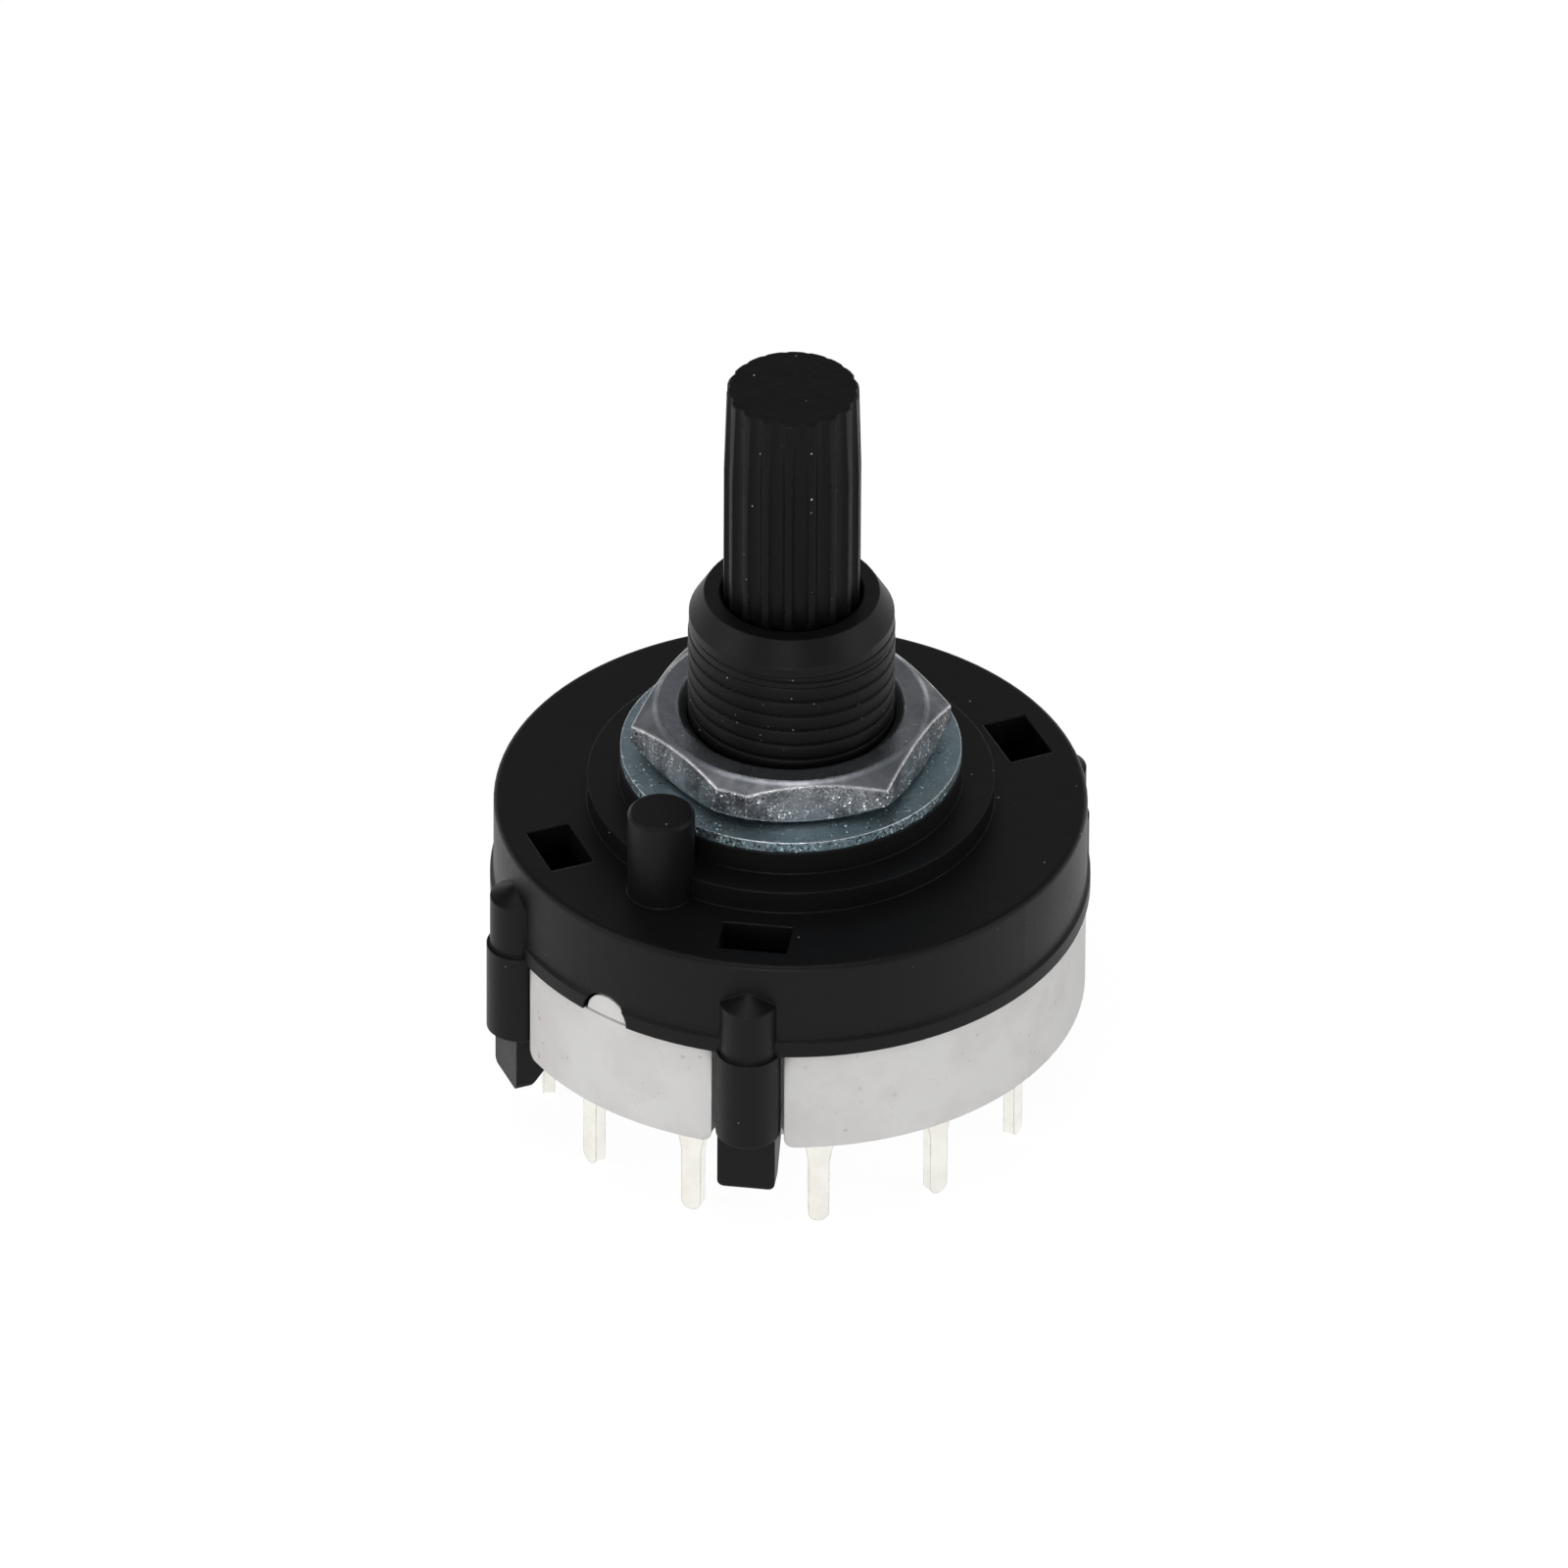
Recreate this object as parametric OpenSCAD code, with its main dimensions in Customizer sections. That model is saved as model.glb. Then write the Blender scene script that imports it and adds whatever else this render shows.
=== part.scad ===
// Rotary switch, 26 mm round, one pole with twelve positions, for a panel or a board.
// Millimetres. Z = 0 is the plane of the terminal tips and +Z runs up the shaft.
// The front of the switch is -Y, where its locating pin stands.

/* [Housing] */
// Outside diameter of the side wall
body_d = 25.6; // [25:0.1:27]
// Height of the side wall, from the rim to the top plate
skirt_h = 4.6; // [4.4:0.1:6]
// Thickness of the side wall
skirt_t = 1.0; // [0.8:0.05:1.2]
// How far the lip at the rim stands out from the side wall
lip_out = 0.15; // [0.05:0.05:0.3]
// Height of that lip
lip_h = 0.7; // [0.4:0.1:1.2]
// Rounding of the edge between the side wall and the top plate
edge_r = 0.25; // [0.1:0.05:0.5]
// Thickness of the top plate
plate_t = 1.2; // [1:0.1:1.6]
// Diameter of the low disc on the top plate
disc_d = 17.56; // [17:0.1:18.5]
// Height of the low disc
disc_h = 1.07; // [0.6:0.05:1.6]
// Diameter of the boss that the panel lies on
boss_d = 14.8; // [14:0.1:16]
// Height of the boss above the disc
boss_h = 1.09; // [0.6:0.05:1.6]
// Thickness of the roof and the wall round the recess under the boss
boss_t = 1.2; // [1:0.05:1.5]

/* [Bushing] */
// Outside diameter of the threaded bushing
bushing_d = 8.84; // [8.6:0.02:9.2]
// Length of the bushing above the boss
bushing_l = 8.6; // [7:0.1:12]
// Height of the lead-in cone at the top of the bushing
cone_h = 1.05; // [0.5:0.05:1.5]
// How much the lead-in cone takes off the radius
cone_in = 0.64; // [0.3:0.02:0.8]
// Width of the bevel at the mouth of the bore
mouth_bevel = 0.12; // [0.05:0.01:0.2]

/* [Locating pin] */
// Diameter of the pin that stops the switch from turning in its panel
pin_d = 2.9; // [2.5:0.1:3.2]
// Distance from the shaft's axis to the pin's axis
pin_offset = 9.0; // [8.8:0.1:10]
// Height of the pin above the top plate
pin_h = 4.15; // [3:0.05:6]
// Width of the bevel round the pin's top
pin_bevel = 0.15; // [0.05:0.05:0.3]

/* [Snap clips] */
// Angle of the two front clips from the front line
clip_angle = 30; // [28:1:32]
// Angle of the two back clips from the back line
back_clip_angle = 28.5; // [28:0.5:31]
// Radius of the half-round rib above each clip
rib_r = 1.25; // [1.1:0.05:1.3]
// Height of the rib's straight part above the rim
rib_h = 2.6; // [1.8:0.1:2.8]
// Height of the rib's pointed top
rib_point_h = 0.65; // [0.4:0.05:0.8]
// Radius of the half-round leg below the rim
leg_r = 1.4; // [1.3:0.05:1.5]
// How far inside the side wall's face the ribs and legs have their axis
leg_inset = 0.23; // [0.15:0.01:0.35]
// How far the flat back of a leg lies outside the side wall's inner face
leg_back = 0.1; // [0.05:0.05:0.2]
// Height of the leg's lower end above the base's lower face
leg_end_h = 0.55; // [0.4:0.05:0.8]
// Width of the bevel round the leg's lower end
leg_bevel = 0.15; // [0.05:0.05:0.3]
// Width of the foot under each leg
foot_w = 2.5; // [2.2:0.1:2.6]
// How far the foot reaches below the base
foot_drop = 1.95; // [1.5:0.05:2.5]
// Width of the foot's flat end
foot_flat = 0.62; // [0.4:0.02:0.9]
// Distance from the leg's axis to the foot's outer face
foot_out = 0.6; // [0.4:0.05:0.8]
// Radius of the foot's lower corners
foot_round = 0.3; // [0.2:0.05:0.4]
// How far the foot's hook reaches in under the base
hook_reach = 0.75; // [0.5:0.05:1]
// Width of the window in the top plate above each hook
window_w = 3.0; // [2.7:0.1:3.4]

/* [Base] */
// Height of the base between its underside and the rim
base_h = 4.9; // [4.6:0.1:6]
// How far the base's side lies inside the housing's side wall
base_inset = 0.03; // [0:0.01:0.1]
// Thickness of the base's floor
floor_t = 2.0; // [1.6:0.1:2.4]
// Gap between a leg and the slot that it runs in
slot_gap = 0.17; // [0.1:0.01:0.25]
// Rounding of each slot's lower corners
slot_round = 0.45; // [0.2:0.05:0.6]
// Height of the ring that stands up inside the side wall
spigot_h = 1.0; // [0.6:0.1:1.4]
// Thickness of that ring
spigot_t = 0.6; // [0.5:0.05:0.8]
// Radius of the half-round key at the front of the rim
key_r = 1.05; // [0.8:0.05:1.3]
// Gap between the key and its notch in the rim
key_gap = 0.13; // [0.08:0.01:0.25]

/* [Terminals] */
// How far inside the side wall's face the outer terminals stand
terminal_inset = 2.3; // [2.1:0.05:2.5]
// Length of the terminals below the base
terminal_drop = 5.4; // [4:0.1:7]
// Width of a terminal's pin
terminal_w = 0.9; // [0.7:0.05:1]
// Width of a terminal's arm and shoulder
shoulder_w = 1.2; // [1.1:0.05:1.3]
// How far the shoulder shows below the base
shoulder_drop = 1.5; // [0.5:0.1:1.8]
// Height over which the shoulder narrows to the pin
shoulder_taper = 0.8; // [0.4:0.1:1.2]
// Thickness of the terminals' sheet
terminal_t = 0.5; // [0.4:0.05:0.6]
// Width of the pad at the end of each arm
pad_w = 1.8; // [1.5:0.1:2.2]
// Outside radius of the common ring
common_r = 4.6; // [4.4:0.1:4.8]
// Width of the common ring
common_w = 2.2; // [1.9:0.1:2.3]

/* [Shaft and rotor] */
// Diameter over the shaft's splines
shaft_d = 5.9; // [5.6:0.05:6.2]
// Length of the shaft above the bushing
shaft_l = 10.55; // [8:0.05:20]
// Diameter of the shaft at its tip
shaft_tip_d = 5.68; // [5.5:0.02:5.7]
// Length over which the shaft narrows to its tip
shaft_taper_l = 4; // [2:0.5:6]
// Bevel round the shaft's tip
shaft_bevel = 0.1; // [0.05:0.01:0.15]
// Number of splines
spline_count = 18; // [16:1:20]
// Depth of the grooves between the splines
spline_depth = 0.25; // [0.15:0.01:0.35]
// Radius of those grooves
spline_groove_r = 0.42; // [0.36:0.01:0.48]
// Turn of the splines from the front line
spline_turn = -5; // [-10:1:10]
// How far the splines reach down inside the bushing
spline_in = 2.3; // [1:0.1:4]
// How far the shoulder under the bushing stands out from the shaft
shoulder_out = 0.65; // [0.5:0.05:0.8]
// Thickness of the rotor's skin over the hole that holds the balls
hub_roof_t = 0.5; // [0.3:0.05:0.6]
// Diameter of the pivot under the rotor
pivot_d = 3.0; // [2.6:0.1:3.2]
// Length of the pivot below the rotor
pivot_l = 1.7; // [1.3:0.1:2]

/* [Detent] */
// Diameter across the bottoms of the detent track's hollows
track_d = 17.8; // [17.6:0.1:18]
// Radius of each hollow
hollow_r = 4.0; // [3.9:0.1:4.3]
// Thickness of the track's wall behind the hollows
track_t = 0.7; // [0.6:0.05:0.8]
// Diameter of the detent balls
ball_d = 2.5; // [2.3:0.1:2.6]
// Wire of the detent spring
spring_wire = 0.35; // [0.25:0.05:0.45]
// Turns of the detent spring
spring_turns = 14; // [10:1:16]
// Half the angle that the rotor's stop lug takes up
lug_half = 7; // [6:0.5:8]

/* [Moving contact] */
// Thickness of the contact bar
bar_t = 0.3; // [0.2:0.05:0.4]
// Width of the contact bar
bar_w = 1.6; // [1.4:0.1:1.8]
// How far the contact bar runs on past its bumps
bar_margin = 0.2; // [0.1:0.05:0.3]
// Radius of the pocket that holds the contact spring
coil_pocket_r = 1.45; // [1.35:0.05:1.5]
// Wire of the contact spring
contact_wire = 0.3; // [0.2:0.05:0.35]
// Turns of the contact spring
contact_turns = 5; // [4:1:7]
// How far the contact bar can lift off its tracks
bar_lift = 0.3; // [0.2:0.05:0.4]
// Height of the rotor's underside above the tracks
bar_room = 0.4; // [0.3:0.05:0.5]
// Radius of the bumps under the contact bar
bump_r = 0.6; // [0.5:0.05:0.7]

/* [Nut and washer] */
// Nut's width across its flats
nut_af = 12.0; // [11:0.1:13]
// Nut's thickness
nut_t = 2.1; // [1.6:0.1:3]
// Angle of the bevels at the nut's corners
nut_bevel = 30; // [20:1:35]
// Share of the width across its flats that the nut's end faces take
nut_face = 0.96; // [0.94:0.01:1]
// Width of the bevel round the nut's thread
nut_sink = 0.4; // [0.2:0.05:0.6]
// Nut's turn from the front line to a corner
nut_turn = 15; // [0:1:60]
// Depth of the flat on the one corner that the press left unfilled
nut_flat = 0.4; // [0.2:0.05:0.6]
// Outside diameter of the washer
washer_d = 14.68; // [13.5:0.02:15.2]
// Thickness of the washer
washer_t = 0.5; // [0.3:0.05:1]

/* [Clearances] */
// Gap all round the shaft in the bushing, the pivot in the base and the balls in the rotor
run_gap = 0.06; // [0.03:0.01:0.09]
// Gap all round the bushing in the nut
thread_gap = 0.08; // [0.05:0.01:0.12]
// Gap all round the bushing in the washer
washer_gap = 0.13; // [0.08:0.01:0.25]
// Gap all round a terminal in its slot
terminal_gap = 0.05; // [0.03:0.01:0.08]
// Gap between the base's ring and the side wall
spigot_gap = 0.3; // [0.2:0.05:0.35]
// Gap between faces of the rotor and the parts round it
rotor_gap = 0.25; // [0.15:0.05:0.3]
// Gap between a ball and the ridge that it rides over, and under the contact's bumps
ride_gap = 0.05; // [0.03:0.01:0.08]
// Gap between a hook and the base's underside
hook_gap = 0.05; // [0:0.01:0.1]
// Gap between a window and the detent track
window_gap = 0.1; // [0.05:0.05:0.2]
// Gap between the common ring and the bearing post inside it
ring_gap = 0.2; // [0.1:0.05:0.25]
// Turn left between the stop lug and its stop at both ends of the travel
stop_gap = 1.5; // [1:0.25:2.5]
// Gap between the nut and the washer under it
nut_gap = 0.05; // [0.02:0.01:0.1]

/* [Hidden] */
$fn = 96;
small_fn = 32;
cut = 1;
overlap = 0.1;
close_pitch = 1.05;
positions = 12;
step = 360 / positions;
terminal_names = [for (i = [1:positions]) str("terminal_", i)];

// Heights, from the terminal tips up
base_z = terminal_drop;
floor_z = base_z + floor_t;
sheet_z = floor_z + terminal_t;
rim_z = base_z + base_h;
plate_z = rim_z + skirt_h;
plate_under_z = plate_z - plate_t;
disc_z = plate_z + disc_h;
boss_z = disc_z + boss_h;
recess_z = boss_z - boss_t;
bushing_z = boss_z + bushing_l;
shaft_z = bushing_z + shaft_l;
washer_z = boss_z + washer_t;
nut_z = washer_z + nut_gap;
foot_z = base_z - foot_drop;

// Radii of the housing and the base
body_r = body_d / 2;
rim_r = body_r + lip_out;
skirt_in_r = body_r - skirt_t;
leg_axis = body_r - leg_inset;
leg_flat = skirt_in_r + leg_back;
base_r = body_r - base_inset;
slot_r = leg_r + slot_gap;
slot_flat = leg_flat - slot_gap;
spigot_r = skirt_in_r - spigot_gap;
bushing_r = bushing_d / 2;
boss_r = boss_d / 2;
recess_r = boss_r - boss_t;
shaft_r = shaft_d / 2;
bore_r = shaft_r + run_gap;
pivot_r = pivot_d / 2;

// Detent track: the ridges lie where neighbouring hollows meet
track_r = track_d / 2;
hollow_axis = track_r - hollow_r;
ridge_r = hollow_axis * cos(step / 2)
    + sqrt(pow(hollow_r, 2) - pow(hollow_axis * sin(step / 2), 2));
track_out_r = track_r + track_t;
track_z = rim_z + rotor_gap / 2;
chamber_r = track_r + 2 * rotor_gap;
window_in_r = track_out_r + window_gap;
window_out_r = sqrt(pow(skirt_in_r, 2) - pow(window_w / 2, 2)) - window_gap / 2;

// Rotor, from its underside up
rotor_z = sheet_z + bar_room;
flange_z = track_z - rotor_gap;
hub_z = plate_under_z - rotor_gap;
hub_r = ridge_r - rotor_gap;
flange_r = chamber_r - rotor_gap;
shoulder_z = recess_z - rotor_gap / 2;
shoulder_r = shaft_r + shoulder_out;
pivot_z = rotor_z - pivot_l;
lug_z = shoulder_z - rotor_gap;
lug_r = recess_r - rotor_gap;
stop_z = hub_z + rotor_gap;
stop_r = shoulder_r + rotor_gap;
stop_half = step / 2 - lug_half - stop_gap;

// Balls and their spring
ball_r = ball_d / 2;
ball_hole_r = ball_r + run_gap;
ball_z = hub_z - hub_roof_t - ball_hole_r;
ball_x = ridge_r - ride_gap - ball_r;
spring_l = 2 * (ball_x - ball_r - ride_gap);
spring_coil_r = ball_r - spring_wire / 2 - run_gap;

// The contact bar reaches from the common ring to the first terminal's pad
contact_angle = -step / 2;
common_in_r = common_r - common_w;
ring_track_r = common_r - common_w / 2;
terminal_r = body_r - terminal_inset;
pad_track_r = chamber_r - pad_w;
bar_end = bump_r + bar_margin;
bar_in_r = ring_track_r - bar_end;
bar_out_r = pad_track_r + bar_end;
bar_mid_r = (ring_track_r + pad_track_r) / 2;
bar_z = rotor_z + ride_gap;
bar_pocket_z = bar_z + bar_t + bar_lift + ride_gap;
coil_pocket_z = ball_z + ride_gap;
contact_coil_r = coil_pocket_r - contact_wire / 2 - run_gap;
contact_spring_z = bar_z + bar_t + ride_gap;
contact_spring_l = coil_pocket_z - ride_gap - contact_spring_z;

// Points of an arc about c, from angle a0 to angle a1
function arc(c, r, a0, a1, n = 6) =
    [for (i = [0:n]) c + r * [cos(a0 + (a1 - a0) * i / n), sin(a0 + (a1 - a0) * i / n)]];

// Turns local +X to the given angle, counted from the front towards +X
module at(angle) {
    rotate([0, 0, angle - 90]) children();
}

// Repeats something at the four clips, two beside the front line and two beside the back line
module at_clips() {
    for (angle = [clip_angle, -clip_angle, 180 - back_clip_angle, 180 + back_clip_angle])
        at(angle) children();
}

// Extrudes an outline drawn in X and Z to both sides of the XZ plane
module across(width) {
    rotate([90, 0, 0]) linear_extrude(width, center = true) children();
}

// A tube standing on z0
module tube(inner, outer, z0, z1) {
    translate([0, 0, z0]) difference() {
        cylinder(r = outer, h = z1 - z0);
        translate([0, 0, -cut]) cylinder(r = inner, h = z1 - z0 + 2 * cut);
    }
}

// Part of a ring about local +X, with the given half angle to each side
module sector(inner, outer, half, z0, z1) {
    far = 2 * outer;
    intersection() {
        tube(inner, outer, z0, z1);
        translate([0, 0, z0]) linear_extrude(z1 - z0)
            polygon([[0, 0], [far, -far * tan(half)], [far, far * tan(half)]]);
    }
}

// Height of a coil's wire after n turns: the end turns lie close, the others share the rest
function coil_rise(n, turns, length, wire) =
    let (close = close_pitch * wire, free = (length - wire - 2 * close) / (turns - 2))
    n < 1 ? n * close
    : n > turns - 1 ? length - wire - (turns - n) * close
    : close + (n - 1) * free;

// A round wire wound into a coil that stands on z = 0
module coil(coil_r, wire, turns, length, steps = 16, sides = 6) {
    count = round(turns * steps);
    points = [
        for (i = [0:count], k = [0:sides - 1])
            let (
                turn = 360 * i / steps,
                side = 360 * k / sides,
                out = coil_r + wire / 2 * cos(side),
                z = wire / 2 + coil_rise(i / steps, turns, length, wire) + wire / 2 * sin(side)
            )
            [out * cos(turn), out * sin(turn), z]
    ];
    walls = [
        for (i = [0:count - 1], k = [0:sides - 1])
            let (a = i * sides, b = a + sides, n = (k + 1) % sides)
            each [[a + k, a + n, b + n], [a + k, b + n, b + k]]
    ];
    first = [for (k = [sides - 1:-1:0]) k];
    last = [for (k = [0:sides - 1]) count * sides + k];
    polyhedron(points, concat(walls, [first, last]));
}

// The turned outline of the housing: bushing, boss, disc, top plate and side wall
module housing_shell() {
    lip_z = rim_z + lip_h;
    rotate_extrude() polygon(concat(
        [
            [bore_r, recess_z],
            [bore_r, bushing_z - mouth_bevel],
            [bore_r + mouth_bevel, bushing_z],
            [bushing_r - cone_in, bushing_z],
            [bushing_r, bushing_z - cone_h],
            [bushing_r, boss_z],
            [boss_r, boss_z],
            [boss_r, disc_z],
            [disc_d / 2, disc_z],
            [disc_d / 2, plate_z]
        ],
        arc([body_r - edge_r, plate_z - edge_r], edge_r, 90, 0),
        [
            [body_r, lip_z + lip_out],
            [rim_r, lip_z],
            [rim_r, rim_z],
            [skirt_in_r, rim_z],
            [skirt_in_r, plate_under_z],
            [recess_r, plate_under_z],
            [recess_r, recess_z]
        ]
    ));
}

// The ring of hollows that the balls click into, under the top plate
module detent_track() {
    height = plate_under_z - track_z + plate_t / 2;
    translate([0, 0, track_z]) linear_extrude(height) difference() {
        circle(r = track_out_r);
        circle(r = hub_r);
        for (i = [0:positions - 1])
            at(i * step) translate([hollow_axis, 0]) circle(r = hollow_r);
    }
}

// The half-round rib on the side wall above each leg
module clip_rib() {
    intersection() {
        translate([leg_axis, 0, rim_z]) {
            cylinder(r = rib_r, h = rib_h, $fn = small_fn);
            translate([0, 0, rib_h]) cylinder(r1 = rib_r, r2 = 0, h = rib_point_h, $fn = small_fn);
        }
        translate([leg_flat, -leg_r, rim_z]) cube([2 * leg_r, 2 * leg_r, skirt_h]);
    }
}

// The springy half-round leg, flat on its inner side
module clip_leg() {
    leg_top_z = rim_z + overlap;
    end_z = base_z + leg_end_h;
    intersection() {
        translate([leg_axis, 0, end_z]) {
            translate([0, 0, leg_bevel])
                cylinder(r = leg_r, h = leg_top_z - end_z - leg_bevel, $fn = small_fn);
            cylinder(r1 = leg_r - leg_bevel, r2 = leg_r, h = leg_bevel, $fn = small_fn);
        }
        translate([leg_flat, -leg_r, end_z]) cube([2 * leg_r, 2 * leg_r, leg_top_z - end_z]);
    }
}

// The foot under the leg, with the hook that holds the base
module clip_foot() {
    outer = leg_axis + foot_out;
    catch_z = base_z - hook_gap;
    foot_top_z = base_z + leg_end_h + leg_bevel + overlap;
    front = [
        [foot_w / 2, foot_top_z],
        [foot_w / 2, foot_z + foot_round]
    ];
    corner = arc([foot_w / 2 - foot_round, foot_z + foot_round], foot_round, 0, -90);
    far_corner = arc([foot_round - foot_w / 2, foot_z + foot_round], foot_round, 270, 180);
    intersection() {
        across(foot_w) polygon([
            [outer, foot_top_z],
            [outer, foot_z],
            [outer - foot_flat, foot_z],
            [slot_flat - hook_reach, catch_z],
            [leg_flat, catch_z],
            [leg_flat, foot_top_z]
        ]);
        translate([slot_flat - hook_reach - cut, 0, 0]) rotate([90, 0, 90])
            linear_extrude(outer - slot_flat + hook_reach + 2 * cut)
                polygon(concat(front, corner, far_corner, [[-foot_w / 2, foot_top_z]]));
    }
}

// The round post that keys the switch to its panel
module locating_pin() {
    at(0) translate([pin_offset, 0, plate_under_z + plate_t / 2]) {
        straight = pin_h + plate_t / 2 - pin_bevel;
        cylinder(d = pin_d, h = straight);
        translate([0, 0, straight]) cylinder(d1 = pin_d, d2 = pin_d - 2 * pin_bevel, h = pin_bevel);
    }
}

module housing() {
    color([0.11, 0.11, 0.11]) difference() {
        union() {
            housing_shell();
            detent_track();
            locating_pin();
            at(0) sector(stop_r, recess_r + boss_t / 2, stop_half, stop_z, recess_z + boss_t / 2);
            at_clips() {
                clip_rib();
                clip_leg();
                clip_foot();
            }
        }
        // windows over the hooks
        at_clips() translate([window_in_r, -window_w / 2, track_z - cut])
            cube([window_out_r - window_in_r, window_w, plate_z - track_z + 2 * cut]);
        // notch for the base's key
        at(0) translate([spigot_r, 0, rim_z]) rotate([0, 90, 0])
            cylinder(r = key_r + key_gap, h = 2 * skirt_t + lip_out, $fn = small_fn);
    }
}

// The slot that a leg runs in, flared at its lower end
module leg_slot() {
    flare = [
        [0, base_z - cut],
        [slot_r + slot_round, base_z - cut],
        [slot_r + slot_round, base_z]
    ];
    round_corner = arc([slot_r + slot_round, base_z + slot_round], slot_round, 270, 180);
    intersection() {
        translate([leg_axis, 0, 0]) rotate_extrude($fn = small_fn)
            polygon(concat(flare, round_corner, [[slot_r, rim_z + cut], [0, rim_z + cut]]));
        translate([slot_flat, -2 * leg_r, base_z - cut])
            cube([3 * leg_r, 4 * leg_r, base_h + cut]);
    }
}

// The groove and slot that hold an outer terminal
module terminal_seat() {
    width = shoulder_w + 2 * terminal_gap;
    outer = terminal_r + terminal_t / 2 + terminal_gap;
    inner = terminal_r - terminal_t / 2 - terminal_gap;
    translate([chamber_r - cut, -width / 2, floor_z])
        cube([outer - chamber_r + cut, width, base_h + spigot_h]);
    translate([inner, -width / 2, base_z - cut])
        cube([outer - inner, width, floor_t + 2 * cut]);
}

// The slot for the common terminal's leg
module common_slot() {
    width = shoulder_w + 2 * terminal_gap;
    translate([common_r, -width / 2, base_z - cut])
        cube([terminal_t + 2 * terminal_gap, width, floor_t + 2 * cut]);
}

module terminal_base() {
    color([0.86, 0.86, 0.87]) difference() {
        union() {
            difference() {
                union() {
                    tube(chamber_r, base_r, floor_z - cut, rim_z);
                    translate([0, 0, base_z]) cylinder(r = base_r, h = floor_t);
                }
                at_clips() leg_slot();
            }
            tube(spigot_r - spigot_t, spigot_r, floor_z, rim_z + spigot_h);
            translate([0, 0, base_z])
                cylinder(r = common_in_r - ring_gap, h = rotor_z - rotor_gap - base_z);
            // key at the front of the rim
            intersection() {
                at(0) translate([spigot_r - spigot_t, 0, rim_z]) rotate([0, 90, 0])
                    cylinder(r = key_r, h = 2 * skirt_t + lip_out, $fn = small_fn);
                translate([0, 0, rim_z - key_r]) cylinder(r = base_r, h = 2 * key_r);
            }
        }
        for (i = [0:positions - 1])
            at((i + 0.5) * step) terminal_seat();
        at(180) common_slot();
        // bearing for the rotor's pivot
        translate([0, 0, pivot_z - rotor_gap]) cylinder(r = pivot_r + run_gap, h = rim_z);
    }
}

// The flat outline of a leg seen from outside: shoulder, taper and rounded pin
module pin_outline(top_z) {
    half = terminal_w / 2;
    wide = shoulder_w / 2;
    low = base_z - shoulder_drop;
    union() {
        polygon([
            [-wide, top_z],
            [-wide, low],
            [-half, low - shoulder_taper],
            [-half, half],
            [half, half],
            [half, low - shoulder_taper],
            [wide, low],
            [wide, top_z]
        ]);
        translate([0, half]) circle(r = half, $fn = small_fn);
    }
}

// A leg standing across local +X, at the given radius
module pin_blade(radius, top_z) {
    translate([radius, 0, 0]) rotate([90, 0, 90])
        linear_extrude(terminal_t, center = true) pin_outline(top_z);
}

// An outer terminal: pad and arm on the floor of the base, and a leg down through it
module terminal() {
    arm_l = terminal_r - pad_track_r + terminal_t / 2;
    color([0.85, 0.84, 0.80]) union() {
        translate([0, 0, floor_z]) linear_extrude(terminal_t) union() {
            translate([pad_track_r, -shoulder_w / 2]) square([arm_l, shoulder_w]);
            translate([pad_track_r, 0]) circle(d = pad_w, $fn = small_fn);
        }
        pin_blade(terminal_r, floor_z + terminal_t / 2);
    }
}

// The common terminal: a ring round the bearing, and a leg at the back
module common_terminal() {
    leg_r_mid = common_r + terminal_gap + terminal_t / 2;
    color([0.85, 0.84, 0.80]) union() {
        tube(common_in_r, common_r, floor_z, sheet_z);
        at(180) {
            translate([common_r - common_w / 2, -shoulder_w / 2, floor_z])
                cube([common_w / 2 + terminal_gap + terminal_t, shoulder_w, terminal_t]);
            pin_blade(leg_r_mid, floor_z + terminal_t / 2);
        }
    }
}

// The turned outline of the shaft and rotor, from the pivot to the tip
module rotor_outline() {
    rotate_extrude() polygon([
        [0, pivot_z],
        [pivot_r, pivot_z],
        [pivot_r, rotor_z],
        [flange_r, rotor_z],
        [flange_r, flange_z],
        [hub_r, flange_z],
        [hub_r, hub_z],
        [shoulder_r, hub_z],
        [shoulder_r, shoulder_z],
        [shaft_r, shoulder_z],
        [shaft_r, shaft_z - shaft_taper_l],
        [shaft_tip_d / 2, shaft_z - shaft_bevel],
        [shaft_tip_d / 2 - shaft_bevel, shaft_z],
        [0, shaft_z]
    ]);
}

// The round-bottomed grooves between the splines, which start inside the bushing
module spline_grooves() {
    groove_axis = shaft_r - spline_depth + spline_groove_r;
    start_z = bushing_z - spline_in;
    for (i = [0:spline_count - 1])
        at(spline_turn + (i + 0.5) * 360 / spline_count) translate([groove_axis, 0, start_z])
            cylinder(r = spline_groove_r, h = shaft_z - start_z + cut, $fn = small_fn);
}

// The slot and the round pocket that hold the contact bar and its spring
module contact_pocket() {
    side = bar_w / 2 + 2 * ride_gap;
    end = 2 * ride_gap;
    at(contact_angle) {
        translate([bar_in_r - end, -side, rotor_z - cut])
            cube([bar_out_r - bar_in_r + 2 * end, 2 * side, bar_pocket_z - rotor_z + cut]);
        translate([bar_mid_r, 0, rotor_z])
            cylinder(r = coil_pocket_r, h = coil_pocket_z - rotor_z, $fn = small_fn);
    }
}

module shaft_rotor() {
    color([0.09, 0.09, 0.09]) difference() {
        union() {
            rotor_outline();
            at(contact_angle) sector(shoulder_r - rotor_gap, lug_r, lug_half, hub_z - rotor_gap, lug_z);
        }
        spline_grooves();
        contact_pocket();
        translate([-hub_r - cut, 0, ball_z]) rotate([0, 90, 0])
            cylinder(r = ball_hole_r, h = 2 * (hub_r + cut));
    }
}

module detent_ball(side) {
    color([0.75, 0.75, 0.77]) translate([side * ball_x, 0, ball_z]) sphere(r = ball_r);
}

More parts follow.
